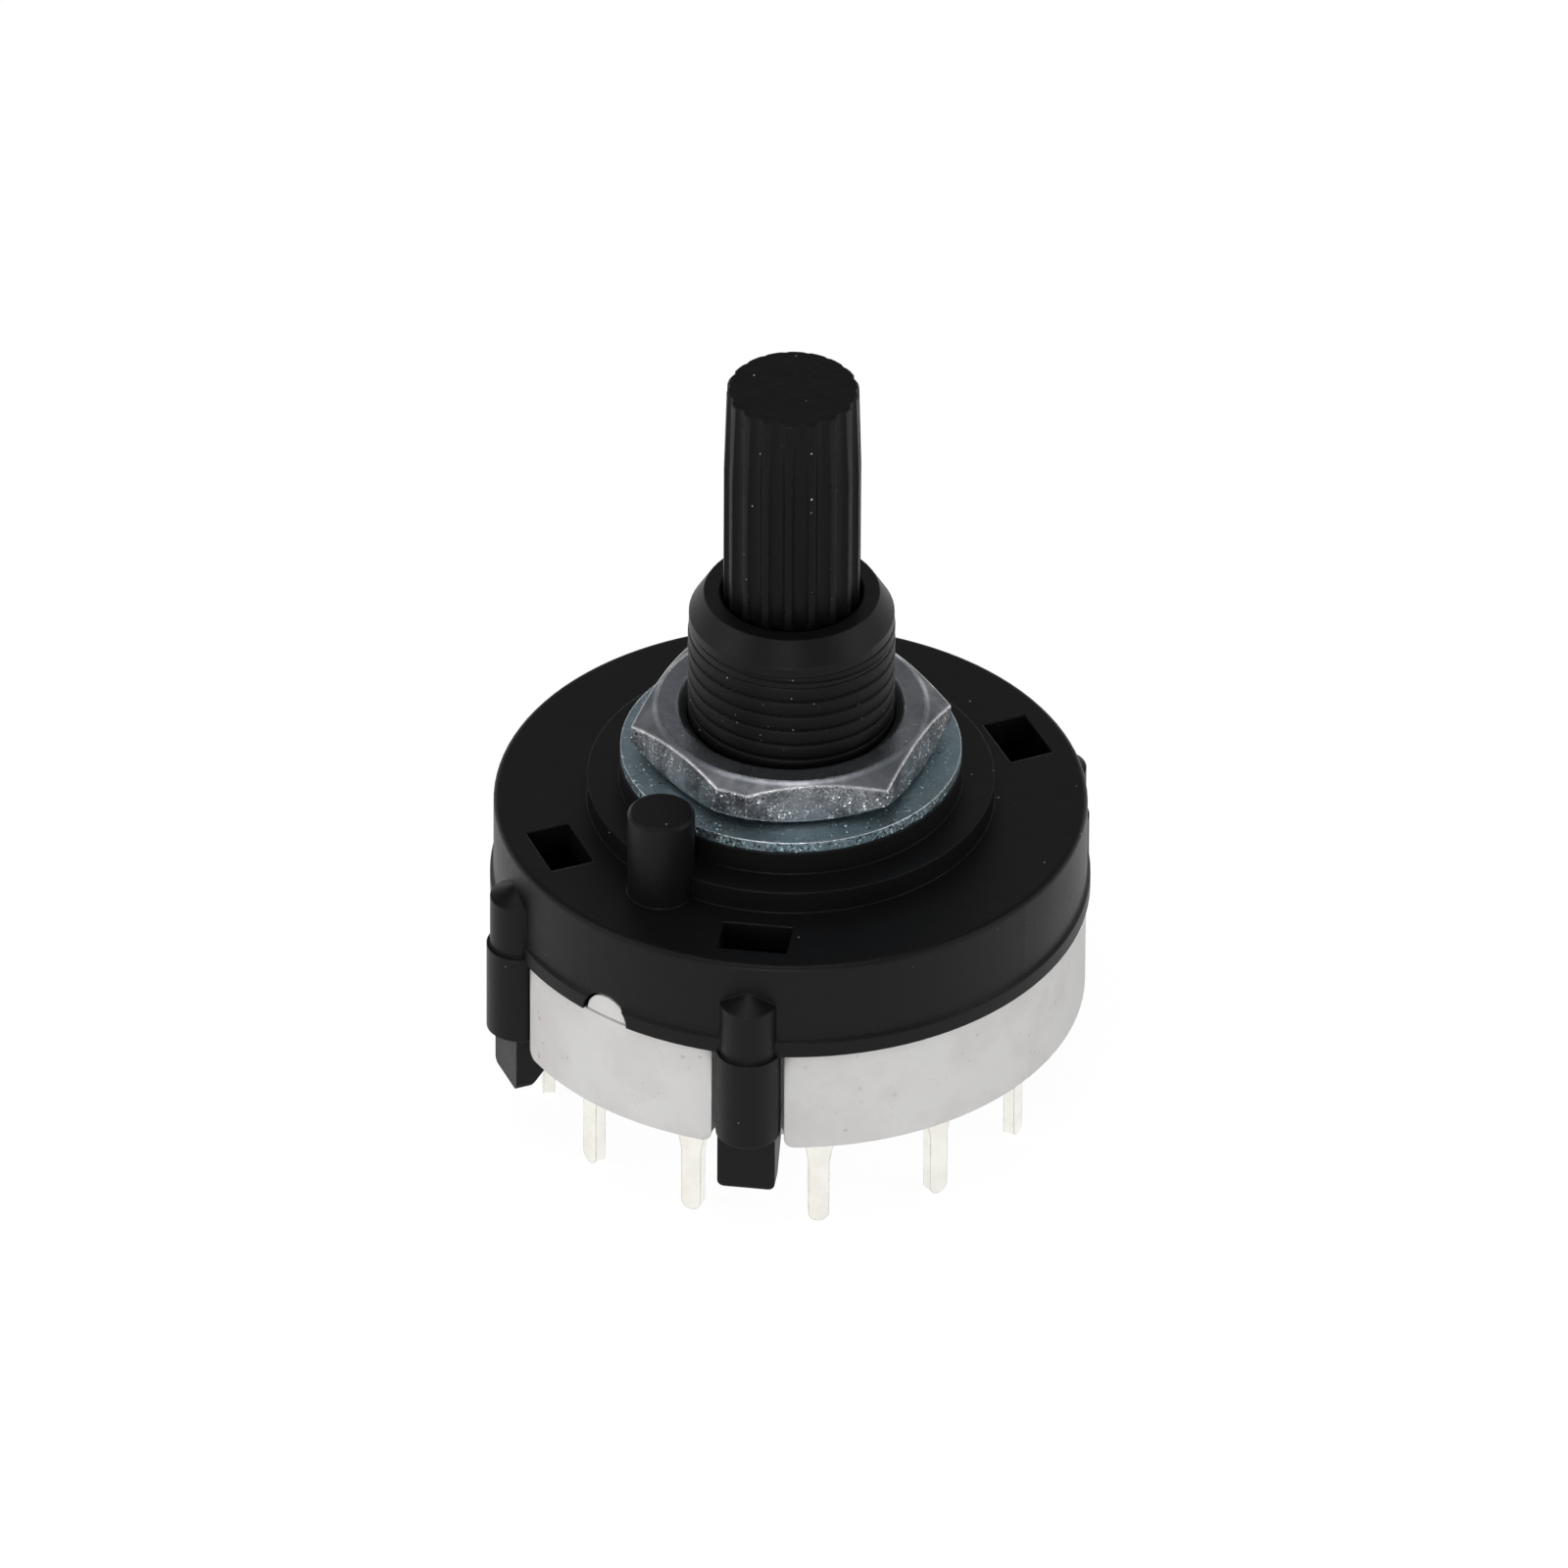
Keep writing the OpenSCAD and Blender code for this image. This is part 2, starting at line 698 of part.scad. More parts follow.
module detent_spring() {
    color([0.6, 0.6, 0.62]) translate([-spring_l / 2, 0, ball_z]) rotate([0, 90, 0])
        coil(spring_coil_r, spring_wire, spring_turns, spring_l);
}

module contact_spring() {
    color([0.6, 0.6, 0.62]) at(contact_angle) translate([bar_mid_r, 0, contact_spring_z])
        coil(contact_coil_r, contact_wire, contact_turns, contact_spring_l);
}

// A contact bump under the bar, at the given radius
module contact_bump(radius) {
    bump_z = sheet_z + ride_gap;
    intersection() {
        translate([radius, 0, bump_z + bump_r]) sphere(r = bump_r, $fn = small_fn);
        translate([radius, 0, bump_z]) cylinder(r = 2 * bump_r, h = bar_z + bar_t / 2 - bump_z);
    }
}

module moving_contact() {
    color([0.80, 0.68, 0.42]) at(contact_angle) union() {
        translate([bar_in_r, -bar_w / 2, bar_z]) cube([bar_out_r - bar_in_r, bar_w, bar_t]);
        contact_bump(ring_track_r);
        contact_bump(pad_track_r);
    }
}

module mounting_washer() {
    color([0.66, 0.70, 0.72]) tube(bushing_r + washer_gap, washer_d / 2, boss_z, washer_z);
}

// The six-sided nut, bevelled at its upper and lower corners, with a flat on one of them
module mounting_nut() {
    corner_r = nut_af / 2 / cos(30);
    face_r = nut_face * nut_af / 2;
    outer_r = corner_r + nut_sink;
    bevel_h = (outer_r - face_r) * tan(nut_bevel);
    hole_r = bushing_r + thread_gap;
    color([0.72, 0.73, 0.75]) translate([0, 0, nut_z]) difference() {
        intersection() {
            at(nut_turn) difference() {
                cylinder(r = corner_r, h = nut_t, $fn = 6);
                translate([corner_r - nut_flat, -nut_af / 2, -cut])
                    cube([nut_af, nut_af, nut_t + 2 * cut]);
            }
            rotate_extrude() polygon([
                [0, 0],
                [face_r, 0],
                [outer_r, bevel_h],
                [outer_r, nut_t - bevel_h],
                [face_r, nut_t],
                [0, nut_t]
            ]);
        }
        translate([0, 0, -cut]) cylinder(r = hole_r, h = nut_t + 2 * cut);
        translate([0, 0, nut_t - nut_sink])
            cylinder(r1 = hole_r, r2 = hole_r + nut_sink, h = nut_sink);
        cylinder(r1 = hole_r + nut_sink / 2, r2 = hole_r, h = nut_sink / 2);
    }
}

housing();
terminal_base();
shaft_rotor();
mounting_nut();
mounting_washer();
detent_spring();
detent_ball(-1);  // detent_ball_left
detent_ball(1);  // detent_ball_right
moving_contact();
contact_spring();
common_terminal();
for (i = [1:positions])
    at((0.5 - i) * step) terminal();
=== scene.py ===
"""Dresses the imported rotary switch.

Every CAD node gets its finish, the bushing gets its thread, and a plain studio is set up round
the switch. Lengths are in metres, but those of the finishes and their effects in millimetres.
Positions come from the frame.
"""

import logging
import math
from collections.abc import Callable, Iterable
from dataclasses import dataclass, field
from enum import Enum

import bpy
from mathutils import Matrix, Vector


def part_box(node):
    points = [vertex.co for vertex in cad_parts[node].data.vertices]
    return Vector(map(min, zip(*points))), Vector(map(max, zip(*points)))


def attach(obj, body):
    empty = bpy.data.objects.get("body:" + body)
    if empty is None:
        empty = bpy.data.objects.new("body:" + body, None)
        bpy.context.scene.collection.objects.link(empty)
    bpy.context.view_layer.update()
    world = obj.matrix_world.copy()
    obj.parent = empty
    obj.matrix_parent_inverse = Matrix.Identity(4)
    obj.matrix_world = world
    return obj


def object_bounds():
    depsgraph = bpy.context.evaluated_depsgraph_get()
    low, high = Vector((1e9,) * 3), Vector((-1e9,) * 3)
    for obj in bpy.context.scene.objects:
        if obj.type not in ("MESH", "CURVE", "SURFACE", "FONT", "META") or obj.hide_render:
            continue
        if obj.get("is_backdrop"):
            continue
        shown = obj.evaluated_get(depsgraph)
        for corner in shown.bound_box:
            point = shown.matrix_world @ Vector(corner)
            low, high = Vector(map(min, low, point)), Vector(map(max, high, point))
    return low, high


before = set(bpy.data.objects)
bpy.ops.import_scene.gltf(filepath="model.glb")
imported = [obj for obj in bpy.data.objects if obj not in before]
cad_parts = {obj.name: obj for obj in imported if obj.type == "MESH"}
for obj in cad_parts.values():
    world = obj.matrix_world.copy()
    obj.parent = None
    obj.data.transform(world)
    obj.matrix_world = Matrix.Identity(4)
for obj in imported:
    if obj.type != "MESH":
        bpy.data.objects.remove(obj)  # frame["bodies"], ["nodes"], ["joints"], ["record"]

MM = 0.001
WHITE = (1.0, 1.0, 1.0, 1.0)
MIX_SHARE, MIX_FIRST, MIX_SECOND, MIX_RESULT = 0, 6, 7, 2  # a Mix node's sockets for colours
Socket = bpy.types.NodeSocket
Sockets = bpy.types.bpy_prop_collection
Value = Socket | float | int | tuple
log = logging.getLogger("rotary_switch")


class Effect(Enum):
    """The surface effects that several finishes share."""

    GRAIN = "mould_grain"
    SPECKS = "dust_stain_and_glint_specks"
    EDGES = "edges_wear_and_glint"
    RINGS = "turned_rings"
    STREAKS = "drawn_streaks"
    SCUFFS = "fine_scuffs"
    FACETS = "crystal_facets"


class Working(Enum):
    """How a metal part was worked, which says which way its marks run."""

    TURNED = "turned"
    DRAWN = "drawn"
    ROLLED = "rolled"


@dataclass(frozen=True)
class Tone:
    """A colour as levels from 0 to 255 on a screen."""

    red: float
    green: float
    blue: float

    def rgba(self) -> tuple[float, float, float, float]:
        """Turns the levels into linear light, by the curve that screens share.

        Returns:
            The colour in linear light, opaque.
        """
        top, knee, slope, lift, power = 255, 0.04045, 12.92, 0.055, 2.4
        parts = [level / top for level in (self.red, self.green, self.blue)]
        low = [p / slope for p in parts]
        high = [((p + lift) / (1 + lift)) ** power for p in parts]
        red, green, blue = (h if p > knee else l for p, l, h in zip(parts, low, high))
        return (red, green, blue, 1.0)

    def scaled(self, by: float) -> "Tone":
        """Returns the same colour with every level multiplied."""
        return Tone(self.red * by, self.green * by, self.blue * by)


class Wiring:
    """Adds nodes to one node tree and joins them."""

    def __init__(self, tree: bpy.types.NodeTree) -> None:
        """Keeps the tree that the nodes go into.

        Args:
            tree: a shader or geometry node tree.
        """
        self.tree = tree

    def add(self, kind: str, **settings: object) -> bpy.types.Node:
        """Adds a node.

        Args:
            kind: the node's type name.
            settings: the node's own settings, by name.

        Returns:
            The new node.
        """
        node = self.tree.nodes.new(kind)
        for name, value in settings.items():
            setattr(node, name, value)
        return node

    def feed(self, target: Socket, value: Value) -> None:
        """Joins a socket to an input, or writes a plain value on it.

        Args:
            target: the input socket.
            value: an output socket, a number, a vector or a colour.
        """
        if isinstance(value, Socket):
            self.tree.links.new(value, target)
        else:
            target.default_value = value

    def maths(self, operation: str, *values: Value, clamp: bool = False) -> Socket:
        """Adds a Math node.

        Args:
            operation: the node's operation.
            values: its inputs in order.
            clamp: whether the result is kept between 0 and 1.

        Returns:
            The result's socket.
        """
        node = self.add("ShaderNodeMath", operation=operation, use_clamp=clamp)
        for socket, value in zip(node.inputs, values):
            self.feed(socket, value)
        return node.outputs[0]

    def vector(self, operation: str, *values: Value, output: str = "Vector") -> Socket:
        """Adds a Vector Math node.

        Args:
            operation: the node's operation.
            values: its inputs in order; a plain number goes to the Scale input.
            output: the name of the output that is wanted.

        Returns:
            The result's socket.
        """
        node = self.add("ShaderNodeVectorMath", operation=operation)
        if operation == "SCALE":
            self.feed(node.inputs[0], values[0])
            self.feed(node.inputs["Scale"], values[1])
        else:
            for socket, value in zip(node.inputs, values):
                self.feed(socket, value)
        return node.outputs[output]

    def remap(self, value: Value, low: Value, high: Value, start: Value, end: Value) -> Socket:
        """Adds a smooth Map Range node.

        Args:
            value: what is mapped.
            low: the value that gives start.
            high: the value that gives end.
            start: the result at low and below.
            end: the result at high and above.

        Returns:
            The result's socket.
        """
        node = self.add("ShaderNodeMapRange", interpolation_type="SMOOTHSTEP")
        for name, item in zip(("Value", "From Min", "From Max", "To Min", "To Max"),
                              (value, low, high, start, end)):
            self.feed(node.inputs[name], item)
        return node.outputs["Result"]

    def blend(self, share: Value, first: Value, second: Value) -> Socket:
        """Mixes two colours.

        Args:
            share: how much of the second colour shows.
            first: the first colour.
            second: the second colour.

        Returns:
            The mixed colour's socket.
        """
        node = self.add("ShaderNodeMix", data_type="RGBA")
        self.feed(node.inputs[MIX_SHARE], share)
        self.feed(node.inputs[MIX_FIRST], first)
        self.feed(node.inputs[MIX_SECOND], second)
        return node.outputs[MIX_RESULT]

    def noise(self, place: Socket, detail: float = 2.0, rough: float = 0.5) -> Socket:
        """Adds a Noise texture of scale 1.

        Args:
            place: the coordinates that it reads.
            detail: its number of octaves.
            rough: how strong the finer octaves are.

        Returns:
            The noise's value, about 0.5 on average.
        """
        node = self.add("ShaderNodeTexNoise")
        node.inputs["Scale"].default_value = 1.0
        self.feed(node.inputs["Vector"], place)
        self.feed(node.inputs["Detail"], detail)
        self.feed(node.inputs["Roughness"], rough)
        return node.outputs[0]

    def cells(self, place: Socket, feature: str = "F1") -> Sockets:
        """Adds a Voronoi texture of scale 1.

        Args:
            place: the coordinates that it reads.
            feature: what it measures in its cells.

        Returns:
            The texture's outputs, by name.
        """
        node = self.add("ShaderNodeTexVoronoi", feature=feature)
        node.inputs["Scale"].default_value = 1.0
        self.feed(node.inputs["Vector"], place)
        return node.outputs

    def split(self, vector: Socket) -> Sockets:
        """Takes a vector apart.

        Args:
            vector: the vector.

        Returns:
            Its parts, as X, Y and Z.
        """
        node = self.add("ShaderNodeSeparateXYZ")
        self.feed(node.inputs[0], vector)
        return node.outputs

    def joined(self, *parts: Value) -> Socket:
        """Puts a vector together.

        Args:
            parts: its X, Y and Z.

        Returns:
            The vector's socket.
        """
        node = self.add("ShaderNodeCombineXYZ")
        for socket, part in zip(node.inputs, parts):
            self.feed(socket, part)
        return node.outputs[0]

    def rise(self) -> Socket:
        """Says how level the face is.

        Returns:
            A value that is 1 on level faces and 0 on upright ones.
        """
        facing = self.add("ShaderNodeNewGeometry").outputs["True Normal"]
        return self.maths("ABSOLUTE", self.split(facing)["Z"])

    def millimetres(self) -> Socket:
        """Returns the piece's own coordinates, in millimetres."""
        place = self.add("ShaderNodeTexCoord").outputs["Object"]
        return self.vector("SCALE", place, 1 / MM)

    def steps(self, size: Value) -> tuple[Socket, Socket]:
        """Counts the piece's own coordinates in steps of a size.

        Args:
            size: the length of a step, in millimetres.

        Returns:
            One over the size, and the coordinates in steps.
        """
        inverse = self.maths("DIVIDE", 1.0, size)
        return inverse, self.vector("SCALE", self.millimetres(), inverse)

    def tally(self, start: float, *terms: tuple[Socket, float]) -> Socket:
        """Adds weighted masks to a value, and keeps the sum between 0 and 1.

        Args:
            start: the value.
            terms: each mask with its weight.

        Returns:
            The sum's socket.
        """
        total = start
        for count, (mask, weight) in enumerate(terms, 1):
            last = count == len(terms)
            total = self.maths("MULTIPLY_ADD", mask, weight, total, clamp=last)
        return total

    def bump(self, depth: float, height: Socket, normal: Socket) -> Socket:
        """Adds a Bump node.

        Args:
            depth: how deep the relief is, in millimetres.
            height: the relief, from 0 to 1.
            normal: the normal that it starts from.

        Returns:
            The new normal's socket.
        """
        node = self.add("ShaderNodeBump")
        node.inputs["Distance"].default_value = depth * MM
        self.feed(node.inputs["Height"], height)
        self.feed(node.inputs["Normal"], normal)
        return node.outputs[0]

    def eye_rays(self) -> Socket:
        """Says which rays show a thing to the eye: straight on, mirrored or through glass.

        Returns:
            A value that is 1 for such rays and 0 for those that only carry light.
        """
        path = self.add("ShaderNodeLightPath").outputs
        seen = self.maths("ADD", path["Is Camera Ray"], path["Is Glossy Ray"])
        return self.maths("ADD", seen, path["Is Transmission Ray"], clamp=True)

    def surface(self, output: str, share: Socket, plain: Socket, seen: Socket) -> None:
        """Mixes two shaders and joins them to the tree's end.

        Args:
            output: the type name of the node that ends the tree.
            share: how much of the second shader shows.
            plain: the first shader.
            seen: the second shader.
        """
        mix = self.add("ShaderNodeMixShader")
        for socket, value in zip(mix.inputs, (share, plain, seen)):
            self.feed(socket, value)
        self.feed(self.add(output).inputs["Surface"], mix.outputs[0])


def wired(owner: bpy.types.Material | bpy.types.World) -> Wiring:
    """Gives a material or a world an empty tree.

    Args:
        owner: the material or world.

    Returns:
        The wiring of its tree.
    """
    owner.use_nodes = True
    owner.node_tree.nodes.clear()
    return Wiring(owner.node_tree)


def placed(name: str, data: bpy.types.ID) -> bpy.types.Object:
    """Puts a new object into the scene, at the origin.

    Args:
        name: the object's name.
        data: its mesh, light or camera.

    Returns:
        The new object.
    """
    thing = bpy.data.objects.new(name, data)
    bpy.context.scene.collection.objects.link(thing)
    return thing


class Effects:
    """Builds each shared effect once, as a shader node group."""

    def __init__(self) -> None:
        """Starts with no group built."""
        self.makers: dict[Effect, Callable[[Wiring, Sockets, Sockets], None]] = {
            Effect.GRAIN: self._grain,
            Effect.SPECKS: self._specks,
            Effect.EDGES: self._edges,
            Effect.RINGS: self._rings,
            Effect.STREAKS: self._streaks,
            Effect.SCUFFS: self._scuffs,
            Effect.FACETS: self._facets,
        }
        self.groups: dict[Effect, bpy.types.NodeTree] = {}

    def place(self, wiring: Wiring, effect: Effect, **values: float) -> Sockets:
        """Puts an effect into a material.

        Args:
            wiring: the material's wiring.
            effect: which effect.
            values: the effect's inputs, by name.

        Returns:
            The effect's outputs, by name.
        """
        if effect not in self.groups:
            self.groups[effect] = self._build(effect)
        node = wiring.add("ShaderNodeGroup", node_tree=self.groups[effect])
        for name, value in values.items():
            wiring.feed(node.inputs[name], value)
        return node.outputs

    def _build(self, effect: Effect) -> bpy.types.NodeTree:
        """Builds one effect's group.

        Args:
            effect: which effect.

        Returns:
            The group's tree.
        """
        tree = bpy.data.node_groups.new(effect.value, "ShaderNodeTree")
        inputs, outputs = self._sockets(effect)
        for name, default in inputs.items():
            socket = tree.interface.new_socket(name, in_out="INPUT", socket_type="NodeSocketFloat")
            socket.default_value = default
        for name, kind in outputs.items():
            tree.interface.new_socket(name, in_out="OUTPUT", socket_type=kind)
        wiring = Wiring(tree)
        given = wiring.add("NodeGroupInput")
        result = wiring.add("NodeGroupOutput")
        self.makers[effect](wiring, given.outputs, result.inputs)
        return tree

    @staticmethod
    def _sockets(effect: Effect) -> tuple[dict[str, float], dict[str, str]]:
        """Says which inputs and outputs an effect has.

        Args:
            effect: which effect.

        Returns:
            The inputs with their defaults, and the outputs with their types.
        """
        number, vector = "NodeSocketFloat", "NodeSocketVector"
        return {
            Effect.GRAIN: ({"Size": 0.2, "Octaves": 3.0}, {"Height": number}),
            Effect.SPECKS: ({"Spacing": 1.0, "Size": 0.1, "Share": 0.2}, {"Mask": number}),
            Effect.EDGES: (
                {"Radius": 0.1, "Patch": 0.5},
                {"Normal": vector, "Edge": number, "Wear And Glint": number, "Beside": number},
            ),
            Effect.RINGS: ({"Pitch": 0.1}, {"Height": number}),
            Effect.STREAKS: ({"Across": 0.1, "Along": 2.0}, {"Height": number}),
            Effect.SCUFFS: ({"Spacing": 1.5, "Width": 0.02, "Share": 0.4}, {"Mask": number}),
            Effect.FACETS: ({"Size": 0.1, "Flat": 0.05}, {"Height": number}),
        }[effect]

    @staticmethod
    def _grain(wiring: Wiring, given: Sockets, result: Sockets) -> None:
        """Even grain of one size, as a mould leaves it.

        Args:
            wiring: the group's wiring.
            given: the group's inputs, by name.
            result: where the group's outputs go, by name.
        """
        _, place = wiring.steps(given["Size"])
        wiring.feed(result["Height"], wiring.noise(place, given["Octaves"], rough=0.55))

    @staticmethod
    def _specks(wiring: Wiring, given: Sockets, result: Sockets) -> None:
        """Small round specks, here and there.

        Args:
            wiring: the group's wiring.
            given: the group's inputs, by name.
            result: where the group's outputs go, by name.
        """
        smallest, core = 0.25, 0.5
        inverse, place = wiring.steps(given["Spacing"])
        cells = wiring.cells(place)
        chance = wiring.add("ShaderNodeSeparateColor")
        wiring.feed(chance.inputs[0], cells["Color"])
        size = wiring.maths("MULTIPLY", given["Size"], inverse)
        spread = wiring.maths("MULTIPLY_ADD", chance.outputs[0], 1 - smallest, smallest)
        reach = wiring.maths("MULTIPLY", size, spread)
        inner = wiring.maths("MULTIPLY", reach, core)
        dot = wiring.remap(cells["Distance"], inner, reach, 1.0, 0.0)
        kept = wiring.maths("LESS_THAN", chance.outputs[1], given["Share"])
        wiring.feed(result["Mask"], wiring.maths("MULTIPLY", dot, kept))

    @staticmethod
    def _edges(wiring: Wiring, given: Sockets, result: Sockets) -> None:
        """Edges that catch the light as if rounded, the patches along them that wear and take a
        painted glint, and the strips beside them that take painted shade.

        Args:
            wiring: the group's wiring.
            given: the group's inputs, by name.
            result: where the group's outputs go, by name.
        """
        on_edge, near_edge, wear_and_glint = (0.955, 0.988), (0.985, 0.9997), (0.48, 0.62)
        bevel = wiring.add("ShaderNodeBevel", samples=6)
        wiring.feed(bevel.inputs["Radius"], wiring.maths("MULTIPLY", given["Radius"], MM))
        flat = wiring.add("ShaderNodeNewGeometry").outputs["Normal"]
        agree = wiring.vector("DOT_PRODUCT", bevel.outputs[0], flat, output="Value")
        edge = wiring.remap(agree, *on_edge, 1.0, 0.0)
        around = wiring.remap(agree, *near_edge, 1.0, 0.0)
        _, place = wiring.steps(given["Patch"])
        patches = wiring.remap(wiring.noise(place, detail=3.0, rough=0.7), *wear_and_glint, 0.0, 1.0)
        wiring.feed(result["Normal"], bevel.outputs[0])
        wiring.feed(result["Edge"], edge)
        wiring.feed(result["Wear And Glint"], wiring.maths("MULTIPLY", edge, patches))
        wiring.feed(result["Beside"], wiring.maths("SUBTRACT", around, edge, clamp=True))

    @staticmethod
    def _rings(wiring: Wiring, given: Sockets, result: Sockets) -> None:
        """Fine rings round the switch's axis, as a lathe leaves them.

        Args:
            wiring: the group's wiring.
            given: the group's inputs, by name.
            result: where the group's outputs go, by name.
        """
        drift = 0.12
        place = wiring.millimetres()
        flat = wiring.vector("MULTIPLY", place, (1.0, 1.0, 0.0))
        radius = wiring.vector("LENGTH", flat, output="Value")
        rings = wiring.maths("DIVIDE", radius, given["Pitch"])
        parts = wiring.split(wiring.vector("SCALE", place, drift))
        where = wiring.joined(rings, parts["X"], parts["Y"])
        wiring.feed(result["Height"], wiring.noise(where, detail=2.0, rough=0.6))

    @staticmethod
    def _streaks(wiring: Wiring, given: Sockets, result: Sockets) -> None:
        """Streaks that run up and down, as drawing and broaching leave them.

        Args:
            wiring: the group's wiring.
            given: the group's inputs, by name.
            result: where the group's outputs go, by name.
        """
        parts = wiring.split(wiring.millimetres())
        reaches = (given["Across"], given["Across"], given["Along"])
        where = (wiring.maths("DIVIDE", part, reach) for part, reach in zip(parts, reaches))
        height = wiring.noise(wiring.joined(*where), detail=3.0, rough=0.6)
        wiring.feed(result["Height"], height)

    @staticmethod
    def _scuffs(wiring: Wiring, given: Sockets, result: Sockets) -> None:
        """Thin bent scratches in some places.

        Args:
            wiring: the group's wiring.
            given: the group's inputs, by name.
            result: where the group's outputs go, by name.
        """
        swirl, bend, fullest = 0.7, 1.6, 0.75
        inverse, place = wiring.steps(given["Spacing"])
        warp = wiring.add("ShaderNodeTexNoise")
        wiring.feed(warp.inputs["Vector"], place)
        warp.inputs["Scale"].default_value = swirl
        bent = wiring.vector("ADD", place, wiring.vector("SCALE", warp.outputs[1], bend))
        distance = wiring.cells(bent, "DISTANCE_TO_EDGE")["Distance"]
        width = wiring.maths("MULTIPLY", given["Width"], inverse)
        line = wiring.remap(distance, 0.0, width, 1.0, 0.0)
        start = wiring.maths("SUBTRACT", fullest, given["Share"])
        there = wiring.remap(wiring.noise(place), start, fullest, 0.0, 1.0)
        wiring.feed(result["Mask"], wiring.maths("MULTIPLY", line, there))

    @staticmethod
    def _facets(wiring: Wiring, given: Sockets, result: Sockets) -> None:
        """Small flat facets, of which a few tilt so far that they sparkle.

        They are full on upright faces, and on level ones they keep the share Flat.

        Args:
            wiring: the group's wiring.
            given: the group's inputs, by name.
            result: where the group's outputs go, by name.
        """
        middle, gain, rarity = (0.5, 0.5, 0.5), 2.0, 3.0
        turning, patch_scale, thick, thinnest = (0.2, 0.8), 0.6, (0.36, 0.5), 0.15
        _, place = wiring.steps(given["Size"])
        cells = wiring.cells(place)
        away = wiring.vector("SUBTRACT", place, cells["Position"])
        tilt = wiring.vector("SUBTRACT", cells["Color"], middle)
        size = wiring.vector("DOT_PRODUCT", tilt, tilt, output="Value")
        rare = wiring.maths("POWER", wiring.maths("MULTIPLY", size, gain), rarity)
        slope = wiring.vector("DOT_PRODUCT", away, tilt, output="Value")
        upright = wiring.remap(wiring.rise(), *turning, 1.0, given["Flat"])
        broad = wiring.vector("SCALE", wiring.millimetres(), patch_scale)
        patch = wiring.remap(wiring.noise(broad), *thick, thinnest, 1.0)
        slope = wiring.maths("MULTIPLY", slope, wiring.maths("MULTIPLY", rare, upright))
        wiring.feed(result["Height"], wiring.maths("MULTIPLY", slope, patch))


EFFECTS = Effects()


@dataclass(frozen=True)
class Finish:
    """A surface finish. Each kind of finish says how its shader is wired."""

    name: str
    tone: Tone
    roughness: float

    def material(self) -> bpy.types.Material:
        """Makes the finish a material, the first time that it is asked for.

        Returns:
            The material.
        """
        known = bpy.data.materials.get(self.name)
        if known is not None:
            return known
        material = bpy.data.materials.new(self.name)
        wiring = wired(material)
        shader = wiring.add("ShaderNodeBsdfPrincipled")
        output = wiring.add("ShaderNodeOutputMaterial")
        wiring.feed(output.inputs["Surface"], shader.outputs[0])
        self.wire(wiring, shader)
        material.diffuse_color = self.tone.rgba()
        return material

    def wire(self, wiring: Wiring, shader: bpy.types.Node) -> None:
        """Joins the finish's own nodes to its shader.

        Args:
            wiring: the material's wiring.
            shader: its Principled BSDF.
        """
        raise NotImplementedError


